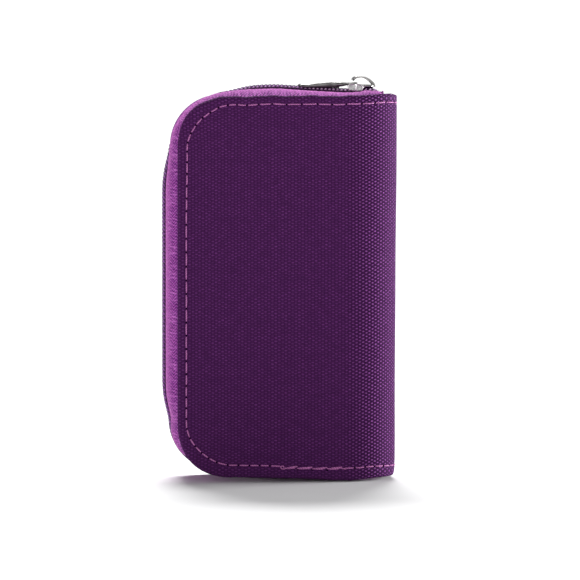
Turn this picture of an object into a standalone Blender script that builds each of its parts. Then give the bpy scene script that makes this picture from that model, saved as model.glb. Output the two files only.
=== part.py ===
"""Zippered memory card pouch, closed and standing upright on its bottom edge.

Frame: X to the right with the spine at +X, Y away from the viewer with the
front cover at -Y, Z up.  Metres.  The driving dimensions below are in
millimetres and are multiplied by MM where a mesh is made.
"""
import math

import bmesh
import bpy
from mathutils import Vector

MM = 0.001

# ---------------------------------------------------------------- dimensions
PANEL_H = 107.2          # height of each cover panel
HX = 32.6                # outer face of the spine
XF = -29.85              # fore-edge of the cover panels
CORNER_R = 15.0          # radius of the fore-edge corners of the panels
CURVE_A = 14.0           # reach of the rounded shoulder along X
SPINE_FLAT = 4.0         # half width of the flat middle of the spine

LEAF_COUNT = 3
SHEET_T = 0.3            # pocket fronts, leaf sheets and lining
FABRIC_T = 0.5           # outer woven fabric
BOARD_T = 0.6            # stiffener board
GAP = 0.3                # clearance that touching pieces keep
SD_CLEAR = 2.2           # clear depth of a small card pocket
CF_CLEAR = 3.4           # clear depth of a large card pocket
LEAF_GAP = 0.35          # air between neighbouring leaves

LEAF_T = 3 * SHEET_T + 2 * SD_CLEAR
LEAF_PITCH = LEAF_T + LEAF_GAP
Y_COVER_POCKET = LEAF_COUNT * LEAF_T / 2 + (LEAF_COUNT + 1) / 2 * LEAF_GAP
# distance from the middle plane to the inner face of a cover's pocket front
HALF_T = (Y_COVER_POCKET + SHEET_T + CF_CLEAR + SHEET_T + GAP + BOARD_T
          + GAP + FABRIC_T)
CURVE_B = HALF_T - SPINE_FLAT        # reach of the shoulder along Y
CX = HX - CURVE_A                    # where the shoulder starts

D_BOARD = FABRIC_T + GAP             # depth of the board under the outer face
D_LINING = D_BOARD + BOARD_T + GAP   # depth of the lining
COVER_END = HX - 4.1                 # covers end here, next to the spine
SPINE_START = HX - 3.8               # the spine's own layers start here
PAGE_INSET = 1.2                     # boards and linings stop short of the edge

HINGE_X = HX - 4.1
HINGE_Y = HALF_T - 3.0
LEAF_HINGE_X = HX - 4.3

# zip
TAPE_T = 0.5
COIL_W = 1.65
COIL_T = 1.0
COIL_IN = 0.45           # inner face of each coil half, from the middle plane
TAPE_IN = 0.6            # inner edge of each tape, from the middle plane
ZIP_LEAN = math.radians(3.7)   # the top run sinks towards the spine
BULGE_SLIDER = -0.9      # how far the tape stands out beyond the panel's edge,
BULGE_TOP = 1.0          # at the slider, at the far end of the top run,
BULGE_FORE = 1.45        # down the fore-edge and along the bottom
BULGE_BOTTOM = -1.45
ZIP_END_X = 28.2
DIVERGE_X = 21.0         # the two halves part beyond this at the top
DIVERGE = 4.5

# slider
SL_X0, SL_X1 = 19.0, 26.8
SL_HALF_W = 3.1
SL_PLATE = 0.8
SL_X = (SL_X0 + SL_X1) / 2
COIL_TOP_Z = PANEL_H + BULGE_SLIDER + GAP + COIL_T     # at the slider's middle
SL_TOP_Z0 = COIL_TOP_Z + GAP
SL_TOP_Z1 = SL_TOP_Z0 + 1.0
SL_BOT_Z1 = PANEL_H + BULGE_SLIDER - TAPE_T - GAP - 0.6   # the cloth under it isn't quite flat
SL_BOT_Z0 = SL_BOT_Z1 - SL_PLATE
CROWN_H = 4.2            # crown and tab bar above the coil
BAR_X, BAR_H = 21.8, 2.4
TAB_LENGTH = 16.6
TAB_WINDOW = 5.5
TAB_T = 0.8
TAB_SLOPE = math.radians(5.6)

# leaves
LEAF_X0 = -27.5
LEAF_Z0, LEAF_Z1 = 4.0, 102.0
LEAF_R = 13.0
SD_POCKET_X0, SD_POCKET_X1 = -21.0, 17.4
SD_POCKET_H = 22.0
SD_POCKET_Z = (8.5, 39.0, 69.5)
SEAM_W = 1.5
CF_POCKET_X0, CF_POCKET_X1 = -25.6, 20.6
CF_POCKET_H = 33.0
CF_POCKET_Z = (8.0, 54.5)

# ------------------------------------------------------------------- clearing
for ob in list(bpy.data.objects):
    bpy.data.objects.remove(ob, do_unlink=True)

COLL = bpy.context.scene.collection


# ------------------------------------------------------------------ materials
def material(name, colour, rough, metal=0.0, sheen=0.0):
    m = bpy.data.materials.new(name)
    m.use_nodes = True
    p = next(n for n in m.node_tree.nodes if n.type == "BSDF_PRINCIPLED")
    p.inputs["Base Color"].default_value = (*colour, 1.0)
    p.inputs["Roughness"].default_value = rough
    p.inputs["Metallic"].default_value = metal
    p.inputs["Sheen Weight"].default_value = sheen
    return m


LOOKS = {
    "woven": ((0.062, 0.014, 0.075), 0.75, 0.0, 0.2),
    "board": ((0.55, 0.53, 0.50), 0.7, 0.0, 0.0),
    "lining": ((0.030, 0.012, 0.036), 0.6, 0.0, 0.1),
    "pocket": ((0.040, 0.016, 0.048), 0.55, 0.0, 0.1),
    "binding": ((0.035, 0.010, 0.042), 0.7, 0.0, 0.1),
    "tape": ((0.42, 0.09, 0.43), 0.8, 0.0, 0.2),
    "coil": ((0.055, 0.010, 0.075), 0.35, 0.0, 0.0),
    "metal": ((0.80, 0.80, 0.80), 0.22, 1.0, 0.0),
    "stop": ((0.060, 0.015, 0.080), 0.4, 0.0, 0.0),
}

# --------------------------------------------------------------------- bodies
BODIES = {}


def body(name, x, y, z, parent=None):
    """An empty on the joint's axis; the body's pieces are its children."""
    e = bpy.data.objects.new(name + "_axis", None)
    e.empty_display_size = 0.01
    COLL.objects.link(e)
    here = Vector((x, y, z)) * MM
    if parent:
        e.parent = BODIES[parent][0]
        e.location = here - BODIES[parent][1]
    else:
        e.location = here
    BODIES[name] = (e, here)


body("spine", 0, 0, 0)
body("front_cover", HINGE_X, -HINGE_Y, PANEL_H / 2, "spine")
body("back_cover", HINGE_X, HINGE_Y, PANEL_H / 2, "spine")
for i in range(LEAF_COUNT):
    body("leaf_%d" % (i + 1), LEAF_HINGE_X,
         (i - (LEAF_COUNT - 1) / 2) * LEAF_PITCH, PANEL_H / 2, "spine")


def leaning(x, y, z):
    """A point of the slider, turned to follow the leaning top run."""
    dx, dz = x - SL_X, z - COIL_TOP_Z
    return (SL_X + dx * math.cos(ZIP_LEAN) + dz * math.sin(ZIP_LEAN), y,
            COIL_TOP_Z - dx * math.sin(ZIP_LEAN) + dz * math.cos(ZIP_LEAN))


body("slider", SL_X, 0, COIL_TOP_Z, "back_cover")
body("pull_tab", *leaning(BAR_X, 0, COIL_TOP_Z + BAR_H), "slider")


# -------------------------------------------------------------------- meshing
def add(name, bm, where, look, smooth_angle=35.0):
    """Turn a bmesh in millimetres, world position, into a named object."""
    empty, origin = BODIES[where]
    bmesh.ops.remove_doubles(bm, verts=bm.verts, dist=1e-5)
    bmesh.ops.recalc_face_normals(bm, faces=bm.faces)
    for v in bm.verts:
        v.co = v.co * MM - origin
    me = bpy.data.meshes.new(name)
    bm.to_mesh(me)
    bm.free()
    me.shade_smooth()
    me.set_sharp_from_angle(angle=math.radians(smooth_angle))
    ob = bpy.data.objects.new(name, me)
    COLL.objects.link(ob)
    ob.parent = empty
    me.materials.append(material(name, *LOOKS[look]))
    return ob


def combine(ob, others, how):
    """Boolean ob with each of the others, keep the result, drop the others."""
    for o in others:
        m = ob.modifiers.new(how.lower(), "BOOLEAN")
        m.operation = how
        m.solver = "EXACT"
        m.object = o
    bpy.context.view_layer.update()
    dg = bpy.context.evaluated_depsgraph_get()
    me = bpy.data.meshes.new_from_object(ob.evaluated_get(dg))
    me.name = ob.name
    ob.modifiers.clear()
    ob.data = me
    while len(me.materials) > 1:
        me.materials.pop(index=len(me.materials) - 1)
    for p in me.polygons:
        p.material_index = 0
    me.set_sharp_from_angle(angle=math.radians(35))
    for o in others:
        bpy.data.objects.remove(o, do_unlink=True)
    return ob


def ring_body(rings, close=False):
    """Bridge equal rings of points in order; cap both ends unless closed."""
    bm = bmesh.new()
    rows = [[bm.verts.new(p) for p in ring] for ring in rings]
    n = len(rows[0])
    pairs = list(zip(rows, rows[1:]))
    if close:
        pairs.append((rows[-1], rows[0]))
    for a, b in pairs:
        for k in range(n):
            j = (k + 1) % n
            bm.faces.new((a[k], a[j], b[j], b[k]))
    if not close:
        bm.faces.new(rows[0])
        bm.faces.new(rows[-1])
    return bm


def slab(outline, axis, lo, hi):
    """Extrude a 2-D outline. axis y: points are (x, z). axis z: (x, y)."""
    if axis == "y":
        a = [(p[0], lo, p[1]) for p in outline]
        b = [(p[0], hi, p[1]) for p in outline]
    else:
        a = [(p[0], p[1], lo) for p in outline]
        b = [(p[0], p[1], hi) for p in outline]
    return ring_body([a, b])


def rounded(x0, z0, x1, z1, radii, steps=4):
    """Rectangle with its own radius at each corner, from lower left, ccw."""
    pts = []
    corners = ((x0, z0, 180), (x1, z0, 270), (x1, z1, 0), (x0, z1, 90))
    for (cx, cz, a0), r in zip(corners, radii):
        if r <= 0:
            pts.append((cx, cz))
            continue
        mx = cx + r if cx == x0 else cx - r
        mz = cz + r if cz == z0 else cz - r
        for k in range(steps + 1):
            a = math.radians(a0 + 90 * k / steps)
            pts.append((mx + r * math.cos(a), mz + r * math.sin(a)))
    return pts


# -------------------------------------------------------- the cover's profile
def shoulder(t, d):
    """Point of the rounded shoulder on the front side, d under the skin."""
    nx, ny = CURVE_B * math.sin(t), -CURVE_A * math.cos(t)
    n = math.hypot(nx, ny)
    return (CX + CURVE_A * math.sin(t) - nx / n * d,
            -(SPINE_FLAT + CURVE_B * math.cos(t)) - ny / n * d)


def shoulder_at(x, d):
    """Parameter of the shoulder where it reaches x, d under the skin."""
    lo, hi = 0.0, math.pi / 2
    for _ in range(50):
        mid = (lo + hi) / 2
        if shoulder(mid, d)[0] < x:
            lo = mid
        else:
            hi = mid
    return (lo + hi) / 2


def skin_y(x, d):
    """Y of the front cover at x, d under its outer face."""
    if x <= CX:
        return -(HALF_T - d)
    return shoulder(shoulder_at(x, d), d)[1]


def cover_layer(name, side, d0, d1, inset, look, where, corner_steps=8,
                curve_steps=7):
    """One layer of a cover: flat, then following the shoulder.

    side is -1 for the front and +1 for the back; d0 and d1 are the depths of
    its outer and inner faces; inset is how far its edge is inside the panel.
    """
    r = CORNER_R - inset
    rows = []
    for k in range(corner_steps + 1):
        a = math.pi / 2 * k / corner_steps
        x = XF + inset + r * (1 - math.cos(a))
        z = inset + r * (1 - math.sin(a))
        rows.append((x, -(HALF_T - d0), x, -(HALF_T - d1), z))
    rows.append((CX, -(HALF_T - d0), CX, -(HALF_T - d1), inset))
    t0, t1 = shoulder_at(COVER_END, d0), shoulder_at(COVER_END, d1)
    for k in range(1, curve_steps + 1):
        f = k / curve_steps
        xo, yo = shoulder(t0 * f, d0)
        xi, yi = shoulder(t1 * f, d1)
        rows.append((xo, yo, xi, yi, inset))
    rings = []
    for xo, yo, xi, yi, z in rows:
        yo, yi = -side * yo, -side * yi
        rings.append([(xo, yo, z), (xo, yo, PANEL_H - z),
                      (xi, yi, PANEL_H - z), (xi, yi, z)])
    bm = ring_body(rings)
    return add(name, bm, where, look) if name else bm


def spine_layer(name, d0, d1, inset, look, steps=8):
    front = []
    t0, t1 = shoulder_at(SPINE_START, d0), shoulder_at(SPINE_START, d1)
    for k in range(steps + 1):
        f = k / steps
        front.append((shoulder(t0 + (math.pi / 2 - t0) * f, d0),
                      shoulder(t1 + (math.pi / 2 - t1) * f, d1)))
    back = [((a[0], -a[1]), (b[0], -b[1])) for a, b in reversed(front)]
    rings = []
    for a, b in front + back:
        rings.append([(a[0], a[1], inset), (a[0], a[1], PANEL_H - inset),
                      (b[0], b[1], PANEL_H - inset), (b[0], b[1], inset)])
    return add(name, ring_body(rings), "spine", look)


# --------------------------------------------------------- pocket seams (ribs)
def seam_u(x0, x1, z0, h, y0, y1):
    """The stitched pleat around a pocket: two sides and the bottom."""
    out = [(x0, z0), (x1, z0), (x1, z0 + h), (x1 - SEAM_W, z0 + h),
           (x1 - SEAM_W, z0 + SEAM_W), (x0 + SEAM_W, z0 + SEAM_W),
           (x0 + SEAM_W, z0 + h), (x0, z0 + h)]
    return slab(out, "y", y0, y1)


def cutter(name, bm, where):
    ob = add(name, bm, where, "pocket")
    ob.hide_render = True
    ob.display_type = "WIRE"
    return ob


# ==================================================================== spine
spine_layer("spine_fabric", 0.0, FABRIC_T, 0.0, "woven")
spine_layer("spine_board", D_BOARD, D_BOARD + BOARD_T, PAGE_INSET, "board")
spine_layer("spine_lining", D_LINING, D_LINING + SHEET_T, PAGE_INSET, "lining")
strip_x1 = HX - D_LINING - SHEET_T - 2 * GAP
add("leaf_binding_strip",
    slab(rounded(strip_x1 - 0.9, -6.1, strip_x1, 6.1, (0.3,) * 4, 3), "z",
         LEAF_Z0, LEAF_Z1), "spine", "binding")

# =================================================================== covers
for side, tag in ((-1, "front"), (1, "back")):
    where = tag + "_cover"
    cover_layer(where + "_fabric", side, 0.0, FABRIC_T, 0.0, "woven", where)
    cover_layer(where + "_board", side, D_BOARD, D_BOARD + BOARD_T,
                PAGE_INSET, "board", where)
    lining = cover_layer(where + "_lining", side, D_LINING,
                         D_LINING + SHEET_T, PAGE_INSET, "lining", where)
    # pleats that give the two large pockets their depth
    y_face = HALF_T - D_LINING - SHEET_T
    y_rib = y_face - CF_CLEAR + GAP
    ribs = []
    for j, z in enumerate(CF_POCKET_Z):
        y0, y1 = sorted((side * (y_face + 0.2), side * y_rib))
        ribs.append(cutter("%s_pleat_%d" % (tag, j),
                           seam_u(CF_POCKET_X0, CF_POCKET_X1, z, CF_POCKET_H,
                                  y0, y1), where))
    combine(lining, ribs, "UNION")
    for z, level in zip(CF_POCKET_Z, ("lower", "upper")):
        y0, y1 = sorted((side * Y_COVER_POCKET,
                         side * (Y_COVER_POCKET + SHEET_T)))
        add("%s_large_pocket_%s" % (tag, level),
            slab(rounded(CF_POCKET_X0, z, CF_POCKET_X1, z + CF_POCKET_H,
                         (1.5, 1.5, 0.5, 0.5), 3), "y", y0, y1),
            where, "pocket")


# ===================================================================== leaves
def channel_path(x0, z0, x1, z1, r, steps=6):
    """Stations (x, z, nx, nz) from the hinge side along top, fore-edge, and
    bottom of a page, with the outward direction at each."""
    out = [(x1, z1, 0, 1)]
    for k in range(steps + 1):
        a = math.radians(90 + 90 * k / steps)
        out.append((x0 + r + r * math.cos(a), z1 - r + r * math.sin(a),
                    math.cos(a), math.sin(a)))
    for k in range(steps + 1):
        a = math.radians(180 + 90 * k / steps)
        out.append((x0 + r + r * math.cos(a), z0 + r + r * math.sin(a),
                    math.cos(a), math.sin(a)))
    out.append((x1, z0, 0, -1))
    return out


for i in range(LEAF_COUNT):
    where = "leaf_%d" % (i + 1)
    yc = (i - (LEAF_COUNT - 1) / 2) * LEAF_PITCH
    outline = rounded(LEAF_X0, LEAF_Z0, LEAF_HINGE_X + 0.25, LEAF_Z1,
                      (LEAF_R, 0, 0, LEAF_R), 7)
    sheet = add(where + "_sheet",
                slab(outline, "y", yc - SHEET_T / 2, yc + SHEET_T / 2),
                where, "lining")
    ribs = []
    for s in (-1, 1):
        for z in SD_POCKET_Z:
            y0, y1 = sorted((yc + s * 0.0,
                             yc + s * (SHEET_T / 2 + SD_CLEAR - GAP)))
            ribs.append(cutter(where + "_pleat",
                               seam_u(SD_POCKET_X0, SD_POCKET_X1, z,
                                      SD_POCKET_H, y0, y1), where))
    combine(sheet, ribs, "UNION")
    for s, face in ((-1, "front"), (1, "rear")):
        for z, level in zip(SD_POCKET_Z, ("bottom", "middle", "top")):
            ya = yc + s * (SHEET_T / 2 + SD_CLEAR)
            y0, y1 = sorted((ya, ya + s * SHEET_T))
            add("%s_%s_pocket_%s" % (where, face, level),
                slab(rounded(SD_POCKET_X0, z, SD_POCKET_X1, z + SD_POCKET_H,
                             (1.5, 1.5, 0.5, 0.5), 3), "y", y0, y1),
                where, "pocket")
    # folded binding tape around the three free edges of the leaf
    inner, outer, wall = -2.2, 0.6, 0.3
    h0 = SHEET_T / 2 + GAP
    h1 = h0 + wall
    section = [(inner, -h1), (outer, -h1), (outer, h1), (inner, h1),
               (inner, h0), (outer - wall, h0), (outer - wall, -h0),
               (inner, -h0)]
    rings = []
    for x, z, nx, nz in channel_path(LEAF_X0, LEAF_Z0, LEAF_HINGE_X - 1.2,
                                     LEAF_Z1, LEAF_R):
        rings.append([(x + nx * o, yc + y, z + nz * o) for o, y in section])
    add(where + "_edge_binding", ring_body(rings), where, "binding")


# ======================================================================== zip
def smooth(f):
    f = min(max(f, 0.0), 1.0)
    return f * f * (3 - 2 * f)


def top_bulge(x):
    return min(BULGE_TOP, BULGE_SLIDER + (SL_X - x) * math.tan(ZIP_LEAN))


def zip_stations(x_end_top, x_end_bottom, steps=8):
    """Stations along the closure: (x, z, nx, nz, bulge, parting)."""
    out = []
    bend_x = SL_X - (BULGE_TOP - BULGE_SLIDER) / math.tan(ZIP_LEAN)
    xs = [x for x in (27.0, 25.6, 24.2, 22.8, DIVERGE_X) if x < x_end_top - 0.3]
    for x in [x_end_top] + xs + [8.0, bend_x, XF + CORNER_R]:
        part = max(0.0, (x - DIVERGE_X) / (ZIP_END_X - DIVERGE_X)) ** 1.6
        out.append((x, PANEL_H, 0, 1, top_bulge(x), part * DIVERGE))
    for k in range(1, steps + 1):
        a = math.radians(90 + 90 * k / steps)
        b = BULGE_TOP + (BULGE_FORE - BULGE_TOP) * smooth(k / steps)
        out.append((XF + CORNER_R * (1 + math.cos(a)),
                    PANEL_H - CORNER_R * (1 - math.sin(a)),
                    math.cos(a), math.sin(a), b, 0.0))
    for k in range(0, steps + 1):
        a = math.radians(180 + 90 * k / steps)
        b = BULGE_FORE + (BULGE_BOTTOM - BULGE_FORE) * smooth(k / steps)
        out.append((XF + CORNER_R * (1 + math.cos(a)),
                    CORNER_R * (1 + math.sin(a)),
                    math.cos(a), math.sin(a), b, 0.0))
    for x in (8.0, x_end_bottom):
        out.append((x, 0.0, 0, -1, BULGE_BOTTOM, 0.0))
    return out


def tape_body(side):
    rings = []
    for x, z, nx, nz, bulge, part in zip_stations(ZIP_END_X, ZIP_END_X):
        y_cov = skin_y(x, FABRIC_T + GAP)
        y_in = -(TAPE_IN + part)
        top, low = [], []
        for k in range(6):
            v = k / 5
            y = y_cov + (y_in - y_cov) * v
            o = bulge * math.sin(math.pi / 2 * v)
            top.append((x + nx * o, -side * y, z + nz * o))
            o -= TAPE_T
            low.append((x + nx * o, -side * y, z + nz * o))
        rings.append(top + low[::-1])
    return ring_body(rings)


def coil_body(side, x_end_top, x_end_bottom):
    rings = []
    for x, z, nx, nz, bulge, part in zip_stations(x_end_top, x_end_bottom):
        a, b = -(COIL_IN + COIL_W + part), -(COIL_IN + part)
        lo, hi, c = bulge + GAP, bulge + GAP + COIL_T, 0.3
        ring = [(a, lo), (b, lo), (b, hi - c), (b - c, hi), (a + c, hi),
                (a, hi - c)]
        rings.append([(x + nx * o, -side * y, z + nz * o) for y, o in ring])
    return ring_body(rings)


STOP_X0, STOP_X1 = 27.35, 28.35
for side, tag in ((-1, "front"), (1, "back")):
    where = tag + "_cover"
    add(tag + "_zip_tape", tape_body(side), where, "tape", 50)
    add(tag + "_zip_coil", coil_body(side, 27.0, 27.6), where, "coil", 50)
    # top stop, clamped on the end of this half
    part = ((27.0 - DIVERGE_X) / (ZIP_END_X - DIVERGE_X)) ** 1.6 * DIVERGE
    ya, yb = -(COIL_IN + COIL_W + part + 0.2), -(COIL_IN + part - 0.1)
    zz = PANEL_H + top_bulge(STOP_X0) + GAP
    pts = rounded(STOP_X0, ya, STOP_X1, yb, (0.3,) * 4, 3)
    pts = [(x, -side * y) for x, y in pts]
    if side > 0:
        pts.reverse()
    add(tag + "_zip_top_stop", slab(pts, "z", zz, zz + 1.1), where, "stop")

zb = -(BULGE_BOTTOM + GAP)
add("zip_bottom_stop",
    slab(rounded(SPINE_START + 0.1, -2.2, SPINE_START + 1.5, 2.2, (0.4,) * 4,
                 3), "z", 0.15, zb), "spine", "stop")

# ===================================================================== slider
def lean_body(rings):
    return ring_body([[leaning(*p) for p in ring] for ring in rings])


def lean_slab(outline, lo, hi):
    return lean_body([[(x, y, z) for x, y in outline] for z in (lo, hi)])


def lean_plate(outline, half):
    return lean_body([[(x, y, COIL_TOP_Z + h) for x, h in outline]
                      for y in (-half, half)])


plate = []
N = 7
for k in range(N + 1):                       # rounded nose, towards the spine
    a = math.radians(-90 + 180 * k / N)
    plate.append((SL_X1 - 1.9 + 1.9 * math.cos(a), 2.55 * math.sin(a)))
plate += [(SL_X1 - 4.3, SL_HALF_W), (SL_X0 + 0.9, SL_HALF_W - 0.25),
          (SL_X0, SL_HALF_W - 1.0), (SL_X0, -(SL_HALF_W - 1.0)),
          (SL_X0 + 0.9, -(SL_HALF_W - 0.25)), (SL_X1 - 4.3, -SL_HALF_W)]
slider = add("zip_slider_body", lean_slab(plate, SL_TOP_Z0, SL_TOP_Z1),
             "slider", "metal")
lower = cutter("slider_lower_plate",
               lean_slab([(x, y * 0.97) for x, y in plate],
                         SL_BOT_Z0, SL_BOT_Z1), "slider")
post = cutter("slider_post",
              lean_slab(rounded(24.6, -0.2, 26.3, 0.2, (0.1,) * 4, 2),
                        SL_BOT_Z0 + 0.3, SL_TOP_Z1 - 0.3), "slider")
TOP = SL_TOP_Z1 - COIL_TOP_Z
crown = cutter("slider_crown", lean_plate(
    [(20.1, TOP - 0.3), (26.7, TOP - 0.3), (26.7, TOP + 0.2), (26.2, 2.2),
     (25.3, 3.1), (24.0, 3.85), (22.7, CROWN_H), (21.4, CROWN_H - 0.1),
     (20.4, 3.6), (20.0, 2.9)], 0.9), "slider")
eye = cutter("slider_crown_eye", lean_plate(
    [(20.75, TOP), (25.7, TOP), (25.5, 2.0), (24.7, 2.65), (23.6, 3.25),
     (22.6, 3.5), (21.6, 3.4), (20.9, 3.1), (20.75, 2.8)], 2.0), "slider")
combine(slider, [lower], "UNION")
combine(slider, [post], "UNION")
combine(crown, [eye], "DIFFERENCE")
combine(slider, [crown], "UNION")

# =================================================================== pull tab
ca, sa = math.cos(TAB_SLOPE), math.sin(TAB_SLOPE)


def tab_point(u, w, h):
    """u along the tab from its bar towards its end, h up from its middle."""
    return leaning(BAR_X - u * ca - h * sa, w,
                   COIL_TOP_Z + BAR_H - u * sa + h * ca)


tab_outline = [(-0.35, -1.7), (0.0, -2.1), (TAB_WINDOW, -2.1), (8.5, -2.0)]
for k in range(9):
    a = math.radians(-90 + 180 * k / 8)
    tab_outline.append((TAB_LENGTH - 2.4 + 2.4 * math.cos(a),
                        2.4 * math.sin(a)))
tab_outline += [(8.5, 2.0), (TAB_WINDOW, 2.1), (0.0, 2.1), (-0.35, 1.7)]
tab = add("zip_pull_tab", ring_body(
    [[tab_point(u, w, -TAB_T / 2) for u, w in tab_outline],
     [tab_point(u, w, TAB_T / 2) for u, w in tab_outline]]),
    "pull_tab", "metal")
window = cutter("pull_tab_window", ring_body(
    [[tab_point(u, w, h) for u, w in
      ((0.4, -1.25), (TAB_WINDOW, -1.25), (TAB_WINDOW, 1.25), (0.4, 1.25))]
     for h in (-1.5, 1.5)]), "pull_tab")
combine(tab, [window], "DIFFERENCE")

bpy.context.view_layer.update()
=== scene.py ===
import math

import bpy
import bmesh
import numpy as np
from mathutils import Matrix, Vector


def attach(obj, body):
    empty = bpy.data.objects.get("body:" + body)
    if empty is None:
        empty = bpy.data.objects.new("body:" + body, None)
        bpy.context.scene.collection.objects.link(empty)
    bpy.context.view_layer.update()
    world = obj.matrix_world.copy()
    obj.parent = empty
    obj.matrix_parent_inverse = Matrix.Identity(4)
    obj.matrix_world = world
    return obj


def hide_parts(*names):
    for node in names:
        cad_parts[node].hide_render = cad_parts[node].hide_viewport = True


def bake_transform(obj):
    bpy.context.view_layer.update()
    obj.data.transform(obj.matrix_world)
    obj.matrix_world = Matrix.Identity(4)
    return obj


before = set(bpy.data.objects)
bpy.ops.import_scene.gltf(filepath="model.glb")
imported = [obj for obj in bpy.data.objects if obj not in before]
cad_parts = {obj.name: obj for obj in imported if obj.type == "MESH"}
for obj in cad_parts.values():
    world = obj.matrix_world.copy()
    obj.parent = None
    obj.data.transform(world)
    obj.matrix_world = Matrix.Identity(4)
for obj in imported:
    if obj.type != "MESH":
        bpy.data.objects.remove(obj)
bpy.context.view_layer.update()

MM = 0.001
COLL = bpy.context.scene.collection

# ------------------------------------------------------------ sizes, in mm
H = 107.2                 # nominal height of the panels
HX = 32.6                 # back of the spine
XF = -29.85               # fore-edge of the panels
R = 15.0                  # corner radius
R_BACK = 19.2             # the back panel's top corner
CURVE_A, CURVE_B, SPINE_FLAT = 14.0, 10.35, 4.0
CX = HX - CURVE_A
HALF_T = SPINE_FLAT + CURVE_B
HINGE_X, HINGE_Y = 28.5, 11.35
CLOTH = 0.42              # thickness of the outer cloth
ROLL = 0.93               # radius of the turned edge
LEAF_X0, LEAF_Z0, LEAF_Z1, LEAF_R = -27.5, 4.0, 102.0, 13.0
LEAF_PITCH = 5.65
LEAF_HINGE_X = 28.3
SD_X0, SD_X1, SD_H, SD_Z = -21.0, 17.4, 22.0, (8.5, 39.0, 69.5)
CF_X0, CF_X1, CF_H, CF_Z = -25.6, 20.6, 33.0, (8.0, 54.5)
SD_CLEAR, CF_CLEAR = 2.2, 3.4
BULGE_SLIDER, BULGE_TOP, BULGE_FORE, BULGE_BOTTOM = -0.25, 1.25, 1.45, -1.45
ZIP_LEAN = math.atan2(0.064532, 0.997916)
DIVERGE_X, DIVERGE, ZIP_END_X = 22.1, 4.5, 28.2
SL_X = 22.9
COIL_TOP_Z = 107.6
BAR_X, BAR_H = 21.8, 2.4
TAB_SLOPE = math.radians(5.6)


def smooth(f):
    f = np.clip(f, 0.0, 1.0)
    return f * f * (3 - 2 * f)


# ---------------------------------------------------------------- mesh tools
def new_object(name, verts, faces, attrs=None, sharp=40.0, recalc=True):
    """Verts in mm. attrs: {name: (n, 3) array} stored on points."""
    me = bpy.data.meshes.new(name)
    me.from_pydata([tuple(map(float, v)) for v in np.asarray(verts) * MM], [],
                   [tuple(int(i) for i in f) for f in faces])
    for key, val in (attrs or {}).items():
        a = me.attributes.new(key, "FLOAT_VECTOR", "POINT")
        a.data.foreach_set("vector", np.asarray(val, np.float32).ravel())
    if recalc:
        bm = bmesh.new()
        bm.from_mesh(me)
        bmesh.ops.recalc_face_normals(bm, faces=bm.faces)
        bm.to_mesh(me)
        bm.free()
    me.validate()
    me.shade_smooth()
    me.set_sharp_from_angle(angle=math.radians(sharp))
    ob = bpy.data.objects.new(name, me)
    COLL.objects.link(ob)
    return ob


class Soup:
    """Collects closed bodies, with their attributes, into one mesh."""

    def __init__(self, *keys):
        self.v, self.f, self.a, self.n = [], [], {k: [] for k in keys}, 0

    def add(self, verts, faces, **attrs):
        self.v.append(np.asarray(verts, float))
        self.f += [tuple(i + self.n for i in f) for f in faces]
        for k in self.a:
            self.a[k].append(np.asarray(attrs[k], float))
        self.n += len(verts)

    def object(self, name, sharp=40.0):
        return new_object(name, np.vstack(self.v), self.f,
                          {k: np.vstack(x) for k, x in self.a.items()}, sharp)


def vertex_normals(v, faces):
    n = np.zeros_like(v)
    for k in {len(f) for f in faces}:
        q = np.array([f for f in faces if len(f) == k])
        p = v[q]
        c = p.mean(1, keepdims=True)
        a = np.cross(p - c, np.roll(p, -1, 1) - c).sum(1)
        for i in range(k):
            np.add.at(n, q[:, i], a)
    ln = np.linalg.norm(n, axis=1)
    ln[ln == 0] = 1
    return n / ln[:, None]


def shell(v, faces, t):
    """Closed body from an open sheet: the sheet, and a copy t behind it."""
    v = np.asarray(v, float)
    n = vertex_normals(v, faces)
    t = np.broadcast_to(np.asarray(t, float), (len(v),))
    inner = v - n * t[:, None]
    k = len(v)
    seen = {}
    for f in faces:
        for i in range(len(f)):
            a, b = f[i], f[(i + 1) % len(f)]
            seen[(a, b)] = 1
    out = list(faces) + [tuple(i + k for i in reversed(f)) for f in faces]
    for (a, b) in seen:
        if (b, a) not in seen:
            out.append((b, a, a + k, b + k))
    return np.vstack([v, inner]), out


def grid_faces(n, m, off=0, close_n=False, close_m=False):
    out = []
    for i in range(n if close_n else n - 1):
        for j in range(m if close_m else m - 1):
            a, b = i * m + j, ((i + 1) % n) * m + j
            c, d = ((i + 1) % n) * m + (j + 1) % m, i * m + (j + 1) % m
            out.append((a + off, b + off, c + off, d + off))
    return out


def loft(rings, close=False, caps=True):
    """Rings of equal point count, bridged, with flat caps."""
    rings = [np.asarray(r, float) for r in rings]
    n, m = len(rings), len(rings[0])
    v = np.vstack(rings)
    f = grid_faces(n, m, 0, close, True)
    if caps and not close:
        f.append(tuple(range(m))[::-1])
        f.append(tuple((n - 1) * m + i for i in range(m)))
    return v, f


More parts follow.
